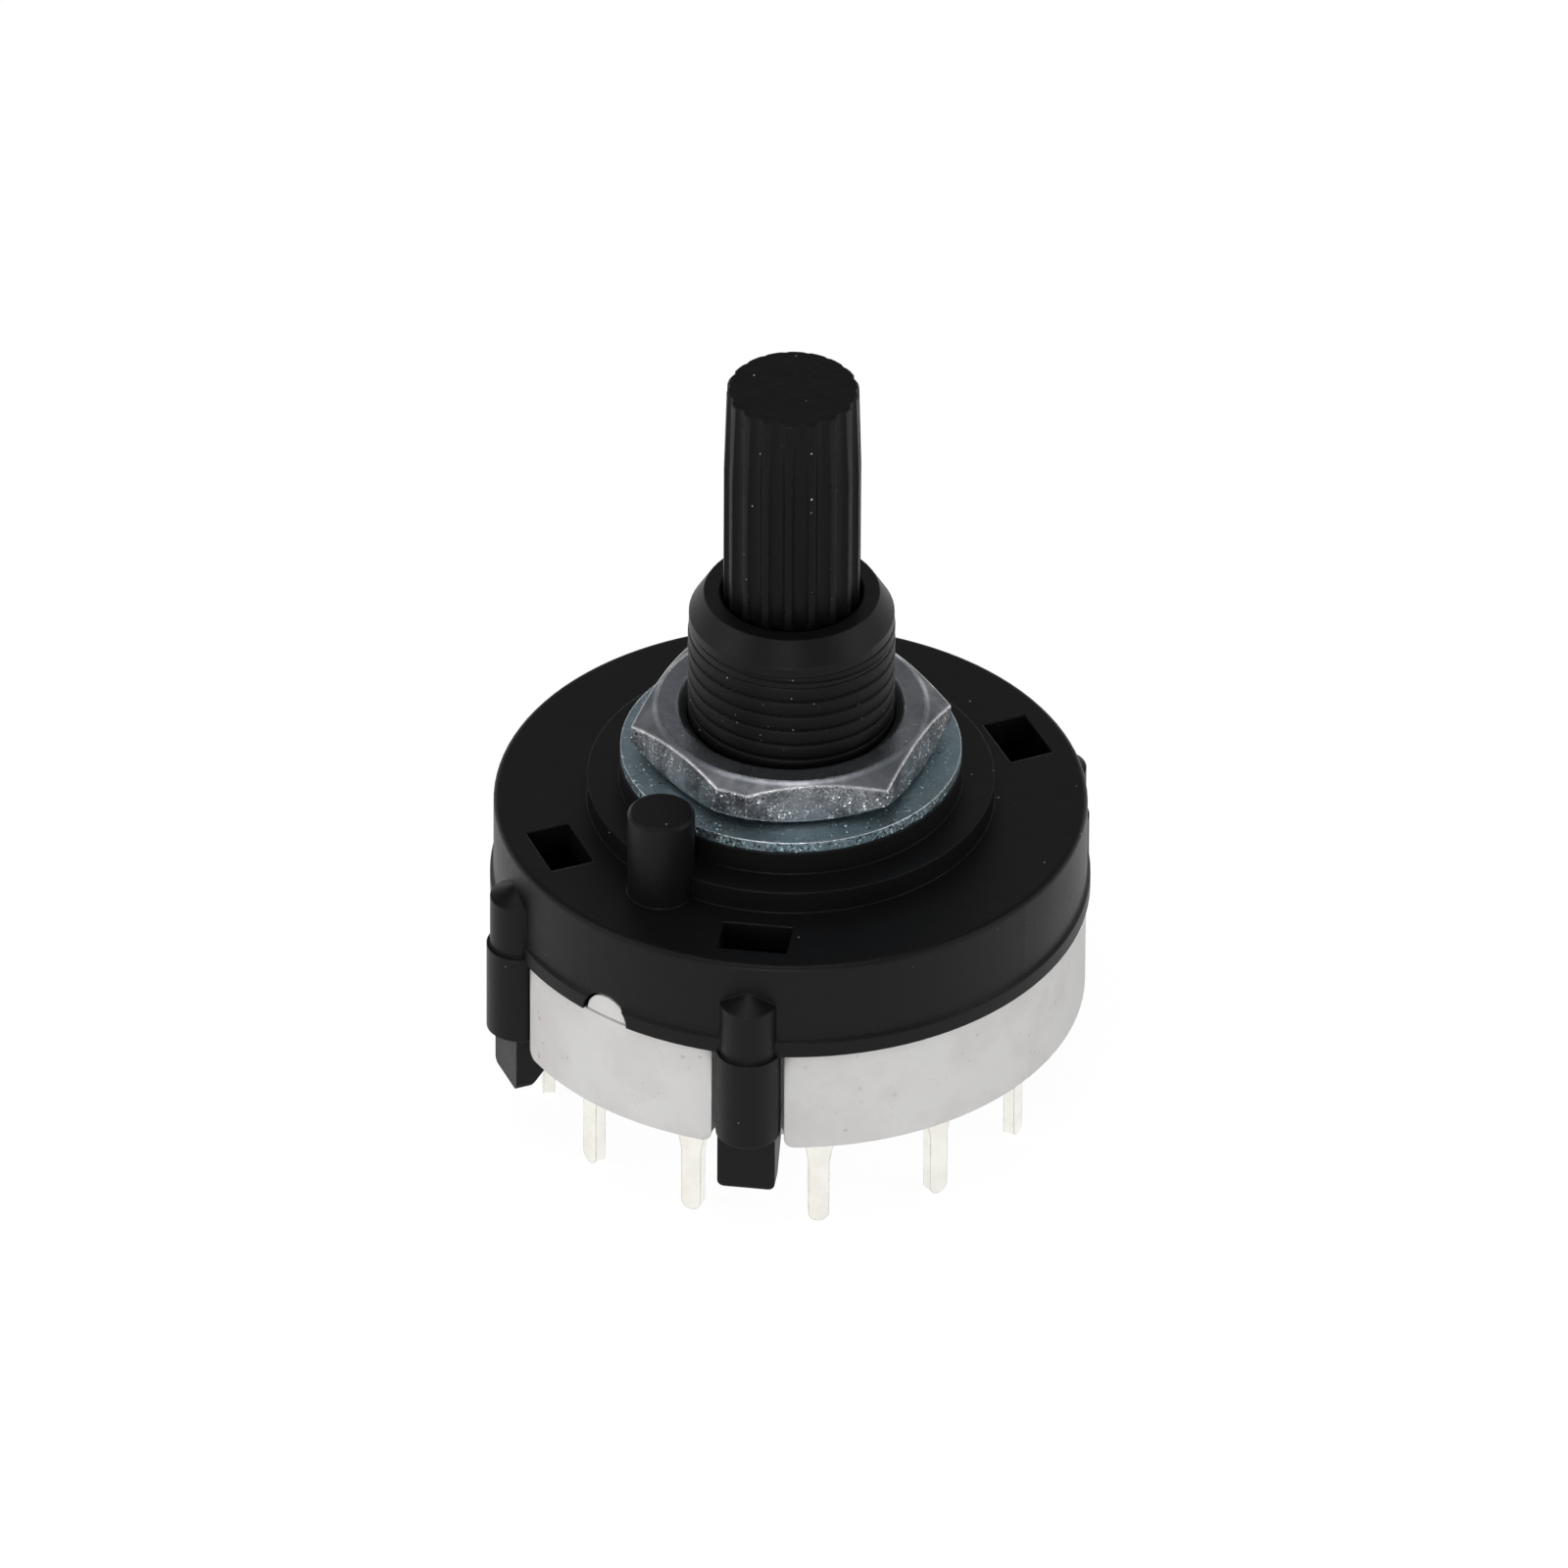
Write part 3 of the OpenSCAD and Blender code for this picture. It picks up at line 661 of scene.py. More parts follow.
@dataclass(frozen=True)
class MouldedPlastic(Finish):
    """Injection-moulded plastic with a fine grain, dusty specks and rubbed edges; on the black
    mouldings both are partly painted glints.
    """

    specular: float = 0.2
    grain: float = 0.16
    grain_depth: float = 0.004
    grain_roughens: float = 0.16
    flow: float = 3.0  # how broad the swells are that the melt leaves
    flow_depth: float = 0.02
    flow_roughens: float = 0.1
    mottle: float = 0.1
    edge: float = 0.1
    rub_and_glint: Tone = Tone(70, 70, 74)  # what rubbed edges show, partly a painted glint along them
    rub_and_glint_share: float = 0.3
    rub_and_glint_patch: float = 0.18
    rub_smooths: float = 0.2
    # the tone of the dusty specks, which on the black mouldings are partly painted glints
    dust_and_glint: Tone = Tone(170, 170, 172)
    dust_and_glint_size: float = 0.07
    dust_and_glint_spacing: float = 1.1
    dust_and_glint_share: float = 0.14
    dust_and_glint_roughens: float = 0.3
    scratched: float = 0.0  # how strongly scratches show
    seam: float = 0.0  # how high the dark line along the housing's lower rim lies
    stain: Tone | None = None
    stain_size: float = 0.16
    stain_spacing: float = 0.42
    stain_share: float = 0.0

    def wire(self, wiring: Wiring, shader: bpy.types.Node) -> None:
        """Joins grain, flow marks, rubbed edges, dusty specks and stains to the shader, with
        painted glints in the edges and specks.

        Args:
            wiring: the material's wiring.
            shader: its Principled BSDF.
        """
        grain = EFFECTS.place(wiring, Effect.GRAIN, Size=self.grain, Octaves=3.0)["Height"]
        flow = EFFECTS.place(wiring, Effect.GRAIN, Size=self.flow, Octaves=2.0)["Height"]
        edges = EFFECTS.place(wiring, Effect.EDGES, Radius=self.edge, Patch=self.rub_and_glint_patch)
        dust_and_glint = EFFECTS.place(
            wiring, Effect.SPECKS, Spacing=self.dust_and_glint_spacing, Size=self.dust_and_glint_size,
            Share=self.dust_and_glint_share,
        )["Mask"]
        darker = self.tone.scaled(1 - self.mottle).rgba()
        lighter = self.tone.scaled(1 + self.mottle).rgba()
        colour = wiring.blend(flow, darker, lighter)
        if self.stain is not None:
            colour = self._stained(wiring, colour)
        # Rubbed edges: partly real wear and partly a painted glint along the edges.
        wear_and_glint = wiring.maths("MULTIPLY", edges["Wear And Glint"], self.rub_and_glint_share)
        colour = wiring.blend(wear_and_glint, colour, self.rub_and_glint.rgba())
        # Dusty specks; on the black mouldings they are partly painted glints.
        colour = wiring.blend(dust_and_glint, colour, self.dust_and_glint.rgba())
        wiring.feed(shader.inputs["Base Color"], colour)
        wiring.feed(shader.inputs["Roughness"], wiring.tally(
            self.roughness - self.grain_roughens / 2,
            (grain, self.grain_roughens), (flow, self.flow_roughens),
            (edges["Wear And Glint"], -self.rub_smooths), (dust_and_glint, self.dust_and_glint_roughens),
        ))
        swell = wiring.bump(self.flow_depth, flow, edges["Normal"])
        wiring.feed(shader.inputs["Normal"], wiring.bump(self.grain_depth, grain, swell))
        shader.inputs["Specular IOR Level"].default_value = self.specular

    def _stained(self, wiring: Wiring, colour: Socket) -> Socket:
        """Adds stains, scratches and a dark line at the housing's lower rim to a colour.

        Args:
            wiring: the material's wiring.
            colour: the clean colour.

        Returns:
            The stained colour's socket.
        """
        soiled, haze, spotted = (0.42, 0.66), 0.13, 0.4
        dark, line_band, line_share, break_band, faintest = 0.6, (0.03, 0.1), 0.65, (0.3, 0.5), 0.6
        spots = EFFECTS.place(
            wiring, Effect.SPECKS, Spacing=self.stain_spacing, Size=self.stain_size,
            Share=self.stain_share,
        )["Mask"]
        lines = EFFECTS.place(wiring, Effect.SCUFFS, Spacing=1.7, Width=0.03, Share=0.3)["Mask"]
        patches = EFFECTS.place(wiring, Effect.GRAIN, Size=2.6, Octaves=3.0)["Height"]
        near = wiring.remap(patches, *soiled, 0.0, 1.0)
        share = wiring.maths("MULTIPLY", wiring.maths("MULTIPLY", spots, near), spotted)
        share = wiring.maths("MULTIPLY_ADD", near, haze, share)
        scratch = wiring.maths("MULTIPLY", lines, self.scratched)
        share = wiring.maths("ADD", share, scratch, clamp=True)
        colour = wiring.blend(share, colour, self.stain.rgba())
        height = wiring.split(wiring.millimetres())["Z"]
        off = wiring.maths("ABSOLUTE", wiring.maths("SUBTRACT", height, self.seam))
        line = wiring.remap(off, *line_band, line_share, 0.0)
        line = wiring.maths("MULTIPLY", line, wiring.remap(patches, *break_band, faintest, 1.0))
        return wiring.blend(line, colour, self.stain.scaled(dark).rgba())


@dataclass(frozen=True)
class PlatedMetal(Finish):
    """Bare or plated metal with the marks of how it was worked."""

    worked: Working = Working.ROLLED
    second: Tone = Tone(150, 150, 155)
    clouds: float = 1.6
    clouds_roughen: float = 0.12
    marks: float = 0.12
    marks_depth: float = 0.002
    marks_roughen: float = 0.14
    edge: float = 0.08
    edge_smooths: float = 0.16
    # painted along edges as a highlight; on tin plate it is darker than the metal
    bright: Tone = Tone(238, 238, 240)
    beside: float = 0.0  # how far painted shade darkens slopes and the strips beside an edge
    chamfer: float = 0.0  # how much rougher a slope is
    shade: float = 0.0  # how far painted shade darkens upright faces in the clouds' patches
    crown: float = 0.0  # how high the crown's bright edge lies
    scuffs: float = 0.35
    scuffs_roughen: float = 0.1
    pits: float = 0.004
    facet: float = 0.11
    facet_slope: float = 0.0  # how steep the facets are, with 0 for none
    facet_flat: float = 0.05  # what share of that level faces keep

    def wire(self, wiring: Wiring, shader: bpy.types.Node) -> None:
        """Joins clouds, working marks, scuffs, facets and painted edge highlights to the shader.

        Args:
            wiring: the material's wiring.
            shader: its Principled BSDF.
        """
        cloudy, scuff_depth = (0.35, 0.65), 0.8
        clouds = EFFECTS.place(wiring, Effect.GRAIN, Size=self.clouds, Octaves=4.0)["Height"]
        grain = EFFECTS.place(wiring, Effect.GRAIN, Size=0.14, Octaves=3.0)["Height"]
        edges = EFFECTS.place(wiring, Effect.EDGES, Radius=self.edge, Patch=0.6)
        scuffs = EFFECTS.place(
            wiring, Effect.SCUFFS, Spacing=1.3, Width=0.03, Share=self.scuffs
        )["Mask"]
        facets = EFFECTS.place(wiring, Effect.FACETS, Size=self.facet, Flat=self.facet_flat)
        marks = self._marks(wiring)
        patch = wiring.remap(clouds, *cloudy, 0.0, 1.0)
        slope = self._slope(wiring)
        wiring.feed(shader.inputs["Base Color"], self._coloured(wiring, edges, patch, slope))
        wiring.feed(shader.inputs["Roughness"], wiring.tally(
            self.roughness, (patch, self.clouds_roughen), (slope, self.chamfer),
            (marks, self.marks_roughen), (scuffs, self.scuffs_roughen),
            (edges["Edge"], -self.edge_smooths),
        ))
        height = wiring.maths("MULTIPLY_ADD", scuffs, -scuff_depth, marks)
        normal = wiring.bump(self.marks_depth, height, edges["Normal"])
        normal = wiring.bump(self.pits, grain, normal)
        normal = wiring.bump(self.facet_slope * self.facet, facets["Height"], normal)
        wiring.feed(shader.inputs["Normal"], normal)
        shader.inputs["Metallic"].default_value = 1.0

    def _coloured(self, wiring: Wiring, edges: Sockets, patch: Socket, slope: Socket) -> Socket:
        """Clouds the metal, paints shade on slopes, beside edges and on upright faces, and paints
        highlights on the edges.

        Args:
            wiring: the material's wiring.
            edges: what the edge effect gives.
            patch: where the clouds are.
            slope: where a face slopes.

        Returns:
            The colour's socket.
        """
        upright_band, shade_darkness, edge_shine, worn_shine = (0.1, 0.3), 0.3, 0.6, 0.4
        colour = wiring.blend(patch, self.tone.rgba(), self.second.rgba())
        # Painted shade: slopes, strips beside edges and upright faces in the clouds' patches go
        # towards a dark copy of the second tone.
        painted_shade = wiring.maths("MAXIMUM", edges["Beside"], slope)
        painted_shade = wiring.maths("MULTIPLY", painted_shade, self.beside)
        upright = wiring.remap(wiring.rise(), *upright_band, self.shade, 0.0)
        painted_shade = wiring.maths("MAXIMUM", painted_shade, wiring.maths("MULTIPLY", upright, patch))
        colour = wiring.blend(painted_shade, colour, self.second.scaled(shade_darkness).rgba())
        # Painted highlight along the edges, stronger in the edge's wear patches.
        shine = wiring.maths("MULTIPLY", edges["Edge"], edge_shine)
        shine = wiring.maths("MULTIPLY_ADD", edges["Wear And Glint"], worn_shine, shine, clamp=True)
        return wiring.blend(shine, colour, self.bright.rgba())

    def _slope(self, wiring: Wiring) -> Socket:
        """Says where a face slopes, as a chamfer does, below the crown's own bright edge.

        Args:
            wiring: the material's wiring.

        Returns:
            The mask of the sloping faces.
        """
        leaving, reaching, faintest = (0.2, 0.4), (0.93, 0.99), 0.1
        crown_band = (self.crown - 0.16, self.crown - 0.07)
        rise = wiring.rise()
        low = wiring.remap(rise, *leaving, 0.0, 1.0)
        sloping = wiring.maths("MULTIPLY", low, wiring.remap(rise, *reaching, 1.0, 0.0))
        height = wiring.split(wiring.millimetres())["Z"]
        under = wiring.remap(height, *crown_band, 1.0, faintest)
        return wiring.maths("MULTIPLY", sloping, under)

    def _marks(self, wiring: Wiring) -> Socket:
        """Adds the marks that the metal's working left.

        Args:
            wiring: the material's wiring.

        Returns:
            The marks' height.
        """
        streak_length = 20
        if self.worked is Working.TURNED:
            return self._rings(wiring)
        if self.worked is Working.DRAWN:
            long = self.marks * streak_length
            return EFFECTS.place(wiring, Effect.STREAKS, Across=self.marks, Along=long)["Height"]
        return EFFECTS.place(wiring, Effect.GRAIN, Size=self.marks, Octaves=2.0)["Height"]

    def _rings(self, wiring: Wiring) -> Socket:
        """Adds turned rings, which are finer cut on the level faces than on the sloping ones.

        Args:
            wiring: the material's wiring.

        Returns:
            The rings' height.
        """
        level, finest = (0.93, 0.99), 0.2
        height = EFFECTS.place(wiring, Effect.RINGS, Pitch=self.marks)["Height"]
        depth = wiring.remap(wiring.rise(), *level, 1.0, finest)
        return wiring.maths("MULTIPLY", height, depth)


# On the black mouldings the pale specks and the rubbed edges are partly painted glints; on the
# thread the specks are mostly painted glints.
BLACK_HOUSING = MouldedPlastic(
    "black_moulding", Tone(13, 13, 14), 0.38, specular=0.16, rub_and_glint_share=0.06, grain=0.13,
    grain_depth=0.007, dust_and_glint_spacing=0.9, dust_and_glint_share=0.5, dust_and_glint_size=0.06,
)
BLACK_SHAFT = MouldedPlastic(
    "black_shaft_moulding", Tone(8, 8, 9), 0.40, specular=0.13, flow=0.9, rub_and_glint_share=0.15,
    grain=0.26, grain_depth=0.009, dust_and_glint=Tone(200, 200, 202), dust_and_glint_size=0.06,
    dust_and_glint_spacing=0.6, dust_and_glint_share=0.6,
)
BLACK_THREAD = MouldedPlastic(
    "black_thread_moulding", Tone(11, 11, 12), 0.42, specular=0.14, grain=0.12,
    grain_depth=0.008, rub_and_glint_share=0.1, dust_and_glint=Tone(180, 180, 190), dust_and_glint_size=0.05,
    dust_and_glint_spacing=0.35, dust_and_glint_share=0.5,
)
WHITE_BASE = MouldedPlastic(
    "white_moulding", Tone(232, 231, 229), 0.5, specular=0.35, flow=4.0, mottle=0.02,
    rub_and_glint=Tone(232, 230, 228), dust_and_glint=Tone(190, 176, 168), dust_and_glint_size=0.035, dust_and_glint_spacing=0.5,
    dust_and_glint_share=0.3, scratched=0.16, seam=10.3, stain=Tone(184, 158, 150), stain_share=0.45,
)
# The nut's beside and shade settings paint shade on its chamfer, beside its edges and on its
# flats.
NUT_NICKEL = PlatedMetal(
    "nickel_plate", Tone(174, 176, 180), 0.25, worked=Working.TURNED,
    second=Tone(134, 138, 144), marks_depth=0.006, scuffs=0.4, edge=0.2, beside=0.5,
    chamfer=0.12, shade=0.6, crown=19.71, facet=0.08, facet_slope=2.4,
)
WASHER_ZINC = PlatedMetal(
    "blue_zinc_plate", Tone(160, 178, 184), 0.30, second=Tone(134, 156, 164), clouds=2.2,
    marks=0.25, scuffs=0.4, facet=0.10, facet_slope=2.2, facet_flat=0.35,
)
# Its bright tone is darker than the tin, so its edges are painted darker.
TINNED = PlatedMetal(
    "tin_plate", Tone(244, 243, 235), 0.14, worked=Working.DRAWN,
    second=Tone(238, 236, 228), clouds=1.1, marks=0.08, marks_depth=0.0008, edge=0.06,
    bright=Tone(150, 148, 142), scuffs=0.1, pits=0.001,
)
SPRING_WIRE = PlatedMetal(
    "spring_wire", Tone(150, 150, 152), 0.26, worked=Working.DRAWN,
    second=Tone(120, 118, 116), clouds=0.8, marks=0.05, edge=0.03, scuffs=0.2,
)
BALL_STEEL = PlatedMetal(
    "ball_steel", Tone(200, 200, 204), 0.12, worked=Working.TURNED,
    second=Tone(180, 180, 186), clouds=1.0, marks=0.06, edge=0.03, scuffs=0.3, pits=0.001,
)
CONTACT_BRONZE = PlatedMetal(
    "contact_bronze", Tone(206, 178, 120), 0.26, second=Tone(184, 148, 96), clouds=0.9,
    marks=0.08, edge=0.05, scuffs=0.3,
)


def dress(nodes: Iterable[str], finish: Finish) -> None:
    """Gives CAD nodes a finish.

    Args:
        nodes: the nodes' names.
        finish: what they are finished with.
    """
    for name in nodes:
        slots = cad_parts[name].data.materials
        if len(slots) == 0:
            slots.append(finish.material())
        for index in range(len(slots)):
            slots[index] = finish.material()
        log.info("%s: finished in %s", name, finish.name)


@dataclass
class ThreadTree:
    """The Geometry Nodes tree that winds a rounded ridge round an upright cylinder."""

    name: str = "wound_thread"
    sides: int = 12
    inputs: dict[str, tuple[str, float]] = field(default_factory=lambda: {
        "Root Radius": ("NodeSocketFloat", 4.4 * MM),
        "Crest Height": ("NodeSocketFloat", 0.07 * MM),
        "Pitch": ("NodeSocketFloat", 0.75 * MM),
        "Turns": ("NodeSocketFloat", 9.0),
        "Foot": ("NodeSocketFloat", 0.0),
        "Ridge Share": ("NodeSocketFloat", 0.97),
        "Fade": ("NodeSocketFloat", 0.08),
        "Turn": ("NodeSocketFloat", 0.0),
        "Steps": ("NodeSocketInt", 72),
    })

    def build(self) -> bpy.types.NodeTree:
        """Builds the tree: path, outline and taper are swept into a closed ridge.

        Returns:
            The new tree.
        """
        tree = bpy.data.node_groups.new(self.name, "GeometryNodeTree")
        for name, (kind, default) in self.inputs.items():
            socket = tree.interface.new_socket(name, in_out="INPUT", socket_type=kind)
            socket.default_value = default
        tree.interface.new_socket("Finish", in_out="INPUT", socket_type="NodeSocketMaterial")
        tree.interface.new_socket("Geometry", in_out="OUTPUT", socket_type="NodeSocketGeometry")
        wiring = Wiring(tree)
        given = wiring.add("NodeGroupInput").outputs
        sweep = wiring.add("GeometryNodeCurveToMesh")
        wiring.feed(sweep.inputs["Curve"], self._path(wiring, given))
        wiring.feed(sweep.inputs["Profile Curve"], self._profile(wiring, given))
        wiring.feed(sweep.inputs["Scale"], self._taper(wiring, given))
        sweep.inputs["Fill Caps"].default_value = True
        ridge = sweep.outputs[0]
        for kind in ("SetShadeSmooth", "RealizeInstances", "SetMaterial"):
            step = wiring.add(f"GeometryNode{kind}")
            wiring.feed(step.inputs["Geometry"], ridge)
            ridge = step.outputs[0]
        wiring.feed(step.inputs["Material"], given["Finish"])
        wiring.feed(wiring.add("NodeGroupOutput").inputs[0], ridge)
        return tree

    @staticmethod
    def _path(wiring: Wiring, given: Sockets) -> Socket:
        """Winds the path round the cylinder.

        Args:
            wiring: the tree's wiring.
            given: the tree's inputs.

        Returns:
            The path's curve.
        """
        rise = wiring.maths("MULTIPLY", given["Pitch"], given["Turns"])
        spiral = wiring.add("GeometryNodeCurveSpiral")
        for name, value in {
            "Resolution": given["Steps"], "Rotations": given["Turns"], "Height": rise,
            "Start Radius": given["Root Radius"], "End Radius": given["Root Radius"],
        }.items():
            wiring.feed(spiral.inputs[name], value)
        upright = wiring.add("GeometryNodeSetCurveNormal", mode="Z_UP")
        wiring.feed(upright.inputs["Curve"], spiral.outputs[0])
        place = wiring.add("GeometryNodeTransform")
        wiring.feed(place.inputs["Geometry"], upright.outputs[0])
        wiring.feed(place.inputs["Translation"], wiring.joined(0.0, 0.0, given["Foot"]))
        wiring.feed(place.inputs["Rotation"], wiring.joined(0.0, 0.0, given["Turn"]))
        return place.outputs[0]

    @staticmethod
    def _taper(wiring: Wiring, given: Sockets) -> Socket:
        """Says how large the ridge is along the path: it runs out at both ends.

        Args:
            wiring: the tree's wiring.
            given: the tree's inputs.

        Returns:
            The ridge's scale.
        """
        thinnest = 0.02
        along = wiring.add("GeometryNodeSplineParameter").outputs["Factor"]
        back = wiring.maths("SUBTRACT", 1.0, along)
        nearest = wiring.maths("MINIMUM", along, back)
        return wiring.remap(nearest, 0.0, given["Fade"], thinnest, 1.0)

    def _profile(self, wiring: Wiring, given: Sockets) -> Socket:
        """Draws the ridge's outline: as deep as the crest is high, nearly as wide as the pitch.

        Args:
            wiring: the tree's wiring.
            given: the tree's inputs.

        Returns:
            The outline's curve.
        """
        ring = wiring.add("GeometryNodeCurvePrimitiveCircle")
        ring.inputs["Resolution"].default_value = self.sides
        ring.inputs["Radius"].default_value = 1.0
        wide = wiring.maths("MULTIPLY", given["Pitch"], given["Ridge Share"])
        half = wiring.maths("MULTIPLY", wide, 0.5)
        shape = wiring.add("GeometryNodeTransform")
        wiring.feed(shape.inputs["Geometry"], ring.outputs[0])
        wiring.feed(shape.inputs["Scale"], wiring.joined(given["Crest Height"], half, 1.0))
        return shape.outputs[0]


def grown(name: str, tree: bpy.types.NodeTree, values: dict[str, object]) -> bpy.types.Object:
    """Runs a Geometry Nodes tree and keeps its result as a plain mesh.

    Args:
        name: the new piece's name.
        tree: the tree.
        values: the tree's inputs, by name.

    Returns:
        The new piece, with no modifier.
    """
    piece = placed(name, bpy.data.meshes.new(name))
    modifier = piece.modifiers.new(tree.name, "NODES")
    modifier.node_group = tree
    for item in tree.interface.items_tree:
        if item.in_out == "INPUT" and item.name in values:
            modifier[item.identifier] = values[item.name]
    graph = bpy.context.evaluated_depsgraph_get()
    mesh = bpy.data.meshes.new_from_object(piece.evaluated_get(graph))
    piece.modifiers.remove(modifier)
    piece.data = mesh
    mesh.name = name
    return piece


@dataclass
class Housing:
    """The black moulding: cap, bushing, locating pin and clips, and the thread on the bushing."""

    crest: float = 0.042 * MM  # how far the thread stands out
    pitch: float = 0.75 * MM
    cone: float = 1.05 * MM  # the plain cone above the thread
    clear: float = 0.5 * MM  # from the washer's underside up to where the thread starts
    boss: float = 14.8 * MM  # the boss's width, inside which the bushing stands
    run_out: float = math.radians(128.0)  # where round the bushing the thread ends

    def build(self) -> None:
        """Dresses the moulding and winds its thread."""
        dress(["housing"], BLACK_HOUSING)
        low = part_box("mounting_washer")[0].z + self.clear
        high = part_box("housing")[1].z - self.cone - self.pitch / 2
        root = self.root_radius()
        turns = (high - low) / self.pitch
        thread = grown("bushing_thread", ThreadTree().build(), {
            "Root Radius": root,
            "Crest Height": self.crest,
            "Pitch": self.pitch,
            "Turns": turns,
            "Foot": low,
            "Turn": self.run_out - math.tau * (turns % 1.0),
            "Finish": BLACK_THREAD.material(),
        })
        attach(thread, "switch_body")
        log.info("bushing_thread: %.1f turns on a radius of %.2f mm", turns, root / MM)

    def root_radius(self) -> float:
        """Measures the bushing above a height half way between nut and cone.

        Returns:
            The bushing's radius.
        """
        height = (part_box("mounting_nut")[1].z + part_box("housing")[1].z - self.cone) / 2
        limit = self.boss / 2
        reaches = [
            math.hypot(v.co.x, v.co.y)
            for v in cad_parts["housing"].data.vertices
            if v.co.z > height and math.hypot(v.co.x, v.co.y) < limit
        ]
        return max(reaches)


@dataclass
class Base:
    """The white moulding that holds the terminals."""

    node: str = "terminal_base"

    def build(self) -> None:
        """Dresses the moulding."""
        dress([self.node], WHITE_BASE)


@dataclass
class Rotor:
    """The splined shaft with its rotor."""

    node: str = "shaft_rotor"

    def build(self) -> None:
        """Dresses the shaft and rotor."""
        dress([self.node], BLACK_SHAFT)


@dataclass
class Fasteners:
    """The nut and washer that hold the switch in a panel."""

    nut: str = "mounting_nut"
    washer: str = "mounting_washer"

    def build(self) -> None:
        """Dresses nut and washer."""
        dress([self.nut], NUT_NICKEL)
        dress([self.washer], WASHER_ZINC)


@dataclass
class Terminals:
    """The twelve outer terminals and the common one."""

    count: int = 12

    def build(self) -> None:
        """Dresses the terminals."""
        names = [f"terminal_{number + 1}" for number in range(self.count)]
        dress(["common_terminal", *names], TINNED)


@dataclass
class Mechanism:
    """The parts inside: detent springs and balls, and the moving contact."""

    springs: tuple[str, ...] = ("detent_spring", "contact_spring")
    balls: tuple[str, ...] = ("detent_ball_left", "detent_ball_right")
    contact: str = "moving_contact"

    def build(self) -> None:
        """Dresses the parts inside."""
        dress(self.springs, SPRING_WIRE)
        dress(self.balls, BALL_STEEL)
        dress([self.contact], CONTACT_BRONZE)


@dataclass(frozen=True)
class Lamp:
    """A soft box that faces the switch."""

    name: str
    azimuth: float
    elevation: float
    distance: float
    size: float
    power: float

    def hang(self, target: Vector) -> None:
        """Hangs the lamp so that it faces a point.

        Args:
            target: the point that it faces.
        """
        light = bpy.data.lights.new(self.name, "AREA")
        light.shape = "DISK"
        light.size = self.size
        light.energy = self.power
        lamp = placed(self.name, light)
        away = direction(self.azimuth, self.elevation)
        lamp.location = target + away * self.distance
        lamp.rotation_euler = away.to_track_quat("Z", "Y").to_euler()
        log.info("%s: hung", self.name)


def direction(azimuth: float, elevation: float) -> Vector:
    """Says which way a viewer is from the switch.

    Args:
        azimuth: degrees from the front, counted towards +X.
        elevation: degrees above the horizon.

    Returns:
        The unit vector that points towards the viewer.
    """
    turn, rise = math.radians(azimuth), math.radians(elevation)
    level = math.cos(rise)
    return Vector((math.sin(turn) * level, -math.cos(turn) * level, math.sin(rise)))


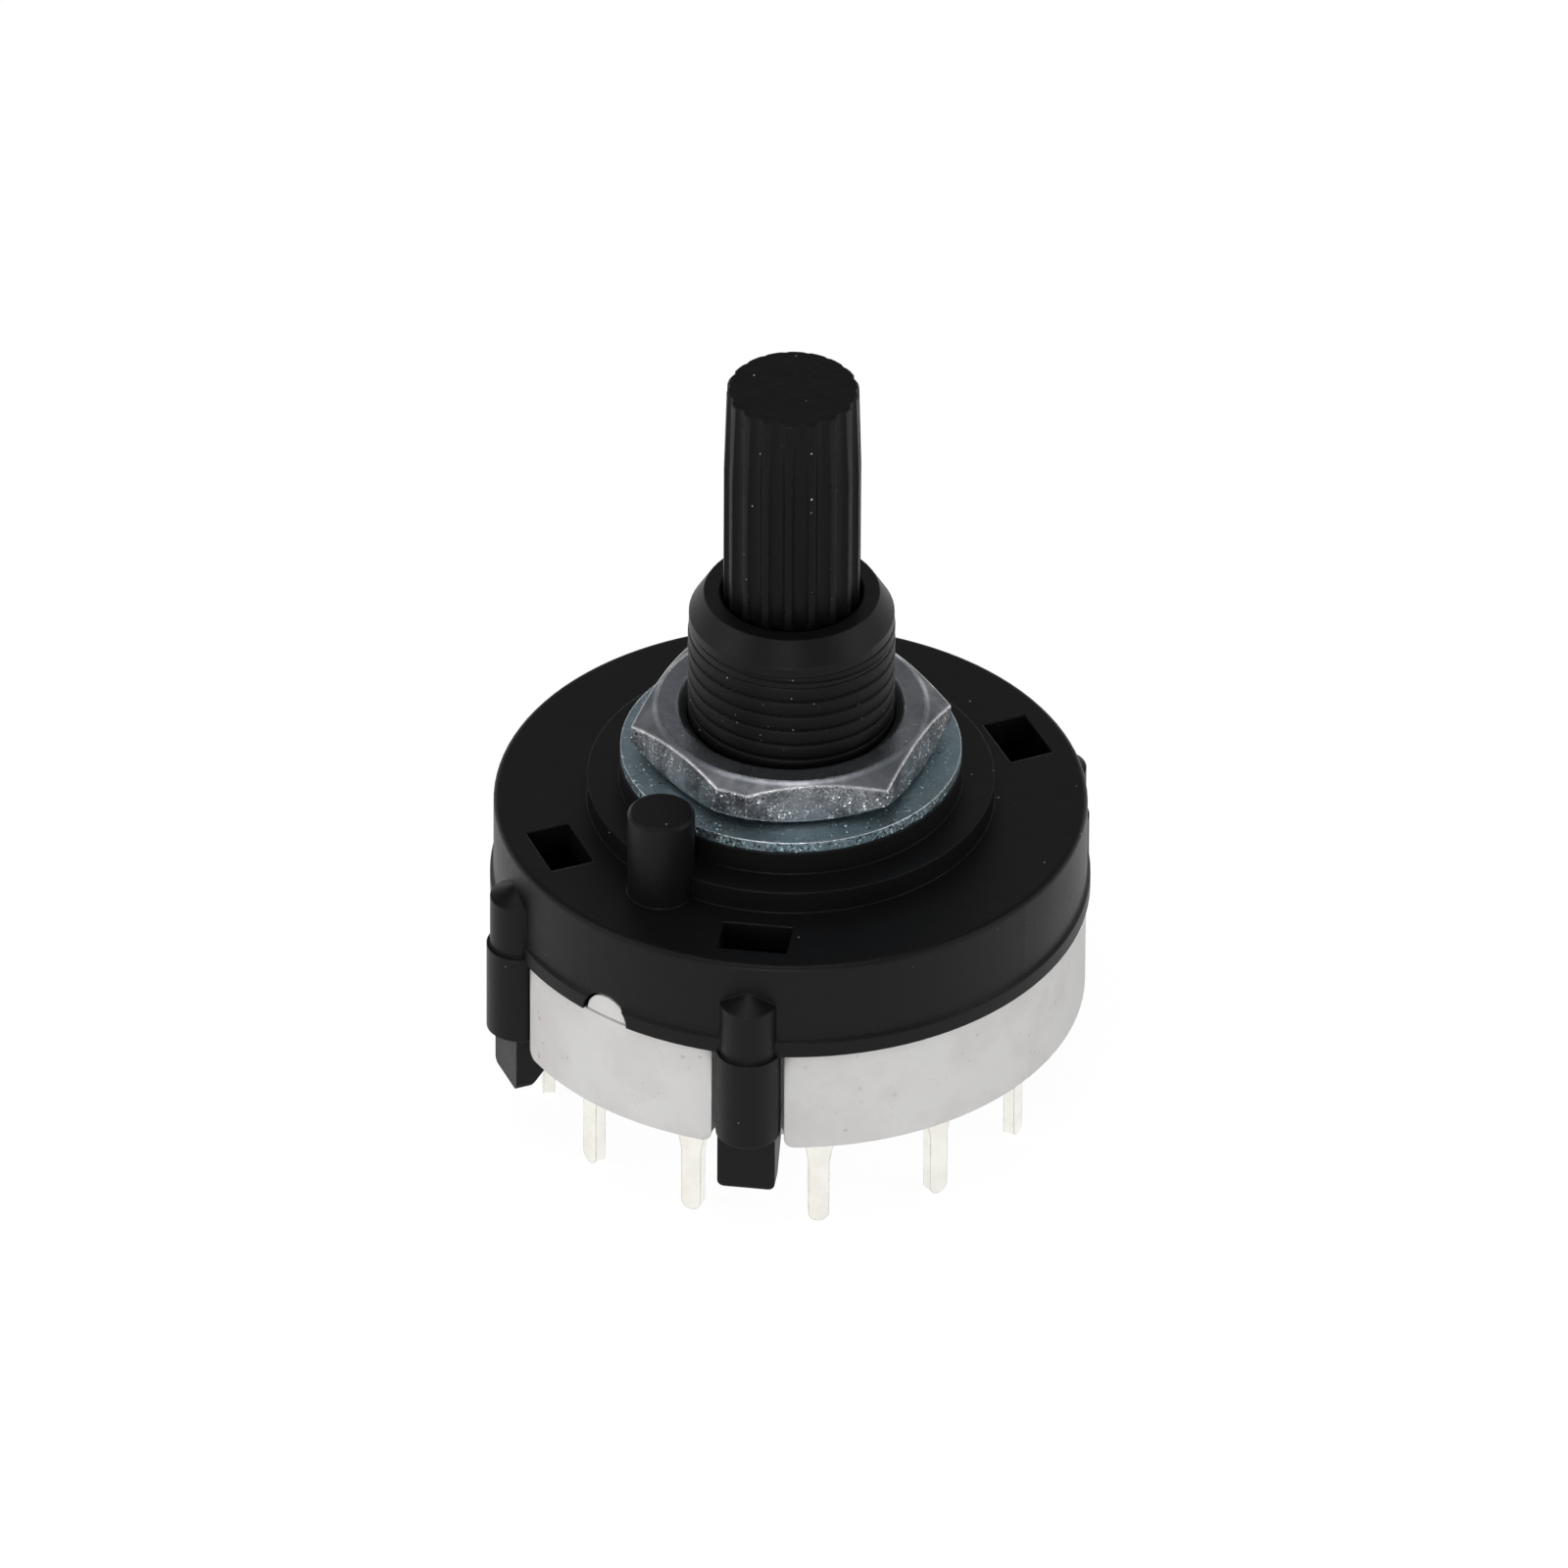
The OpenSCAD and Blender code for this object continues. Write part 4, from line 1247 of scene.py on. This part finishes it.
@dataclass
class Studio:
    """The pale floor, the light and the camera."""

    azimuth: float = 38.0
    elevation: float = 35.44
    distance: float = 1.5
    lens: float = 800.0
    sensor: float = 36.0
    nearest: float = 0.1
    farthest: float = 10.0
    aim_height: float = 15.46 * MM
    aim_right: float = -0.29 * MM
    roll: float = 0.32
    floor_size: float = 3.0
    paper: tuple[float, ...] = (0.86, 0.86, 0.86, 1.0)
    paper_glow: float = 1.1
    glow_share: float = 0.85
    overhead: tuple[float, ...] = (0.16, 0.165, 0.175, 1.0)
    overhead_band: tuple[float, float] = (0.1, 0.55)
    room_light: float = 0.55
    # Each lamp's name, azimuth, elevation, distance, size and power.
    lamps: tuple[Lamp, ...] = (
        Lamp("top_softbox", 20.0, 78.0, 0.55, 0.42, 1.0),
        Lamp("left_softbox", -35.0, 28.0, 0.60, 0.36, 0.7),
        Lamp("right_softbox", 115.0, 28.0, 0.60, 0.36, 0.7),
        Lamp("front_softbox", 32.0, 12.0, 0.60, 0.20, 0.75),
    )

    def build(self) -> None:
        """Builds floor, world, lamps and camera."""
        bpy.context.scene.view_settings.view_transform = "Standard"
        low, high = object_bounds()
        self._floor(low[2])
        self._world()
        target = Vector((0.0, 0.0, (low[2] + high[2]) / 2))
        for lamp in self.lamps:
            lamp.hang(target)
        self._camera()

    def _floor(self, height: float) -> None:
        """Lays the floor.

        Args:
            height: the floor's height.
        """
        half = self.floor_size / 2
        mesh = bpy.data.meshes.new("studio_floor")
        corners = [(x * half, y * half, height) for x, y in ((-1, -1), (1, -1), (1, 1), (-1, 1))]
        mesh.from_pydata(corners, [], [(0, 1, 2, 3)])
        floor = placed("studio_floor", mesh)
        mesh.materials.append(self._floor_material())
        floor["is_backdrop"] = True
        log.info("studio_floor: laid")

    def _floor_material(self) -> bpy.types.Material:
        """Makes the floor's paper, which looks white to the eye and still takes a soft shadow.

        Returns:
            The material.
        """
        material = bpy.data.materials.new("studio_paper")
        wiring = wired(material)
        paper = wiring.add("ShaderNodeBsdfDiffuse")
        paper.inputs["Color"].default_value = self.paper
        glow = wiring.add("ShaderNodeEmission")
        glow.inputs["Color"].default_value = WHITE
        glow.inputs["Strength"].default_value = self.paper_glow
        share = wiring.maths("MULTIPLY", wiring.eye_rays(), self.glow_share)
        wiring.surface("ShaderNodeOutputMaterial", share, paper.outputs[0], glow.outputs[0])
        return material

    def _world(self) -> None:
        """Lights the room: white paper round the horizon, greyer overhead."""
        world = bpy.data.worlds.new("studio_room")
        bpy.context.scene.world = world
        wiring = wired(world)
        height = wiring.split(wiring.add("ShaderNodeTexCoord").outputs["Generated"])["Z"]
        above = wiring.remap(height, *self.overhead_band, 0.0, 1.0)
        colour = wiring.blend(above, WHITE, self.overhead)
        room, seen = (wiring.add("ShaderNodeBackground") for _ in range(2))
        for background, strength in ((room, self.room_light), (seen, 1.0)):
            wiring.feed(background.inputs["Color"], colour)
            background.inputs["Strength"].default_value = strength
        share = wiring.eye_rays()
        wiring.surface("ShaderNodeOutputWorld", share, room.outputs[0], seen.outputs[0])

    def _camera(self) -> None:
        """Sets up the camera far off, with a long lens."""
        data = bpy.data.cameras.new("camera")
        data.lens = self.lens
        data.sensor_width = self.sensor
        data.clip_start = self.nearest
        data.clip_end = self.farthest
        camera = placed("camera", data)
        away = direction(self.azimuth, self.elevation)
        facing = away.to_track_quat("Z", "Y").to_matrix()
        turn = facing @ Matrix.Rotation(math.radians(self.roll), 3, "Z")
        right = facing @ Vector((1.0, 0.0, 0.0))
        target = Vector((0.0, 0.0, self.aim_height)) + right * self.aim_right
        camera.location = target + away * self.distance
        camera.rotation_euler = turn.to_euler()
        bpy.context.scene.camera = camera
        log.info("camera: set")


def main() -> None:
    """Builds the switch's looks in order."""
    logging.basicConfig(level=logging.INFO, format="%(message)s")
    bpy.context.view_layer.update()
    for part in (Housing(), Base(), Rotor(), Fasteners(), Terminals(), Mechanism(), Studio()):
        part.build()


if __name__ == "__main__":
    main()
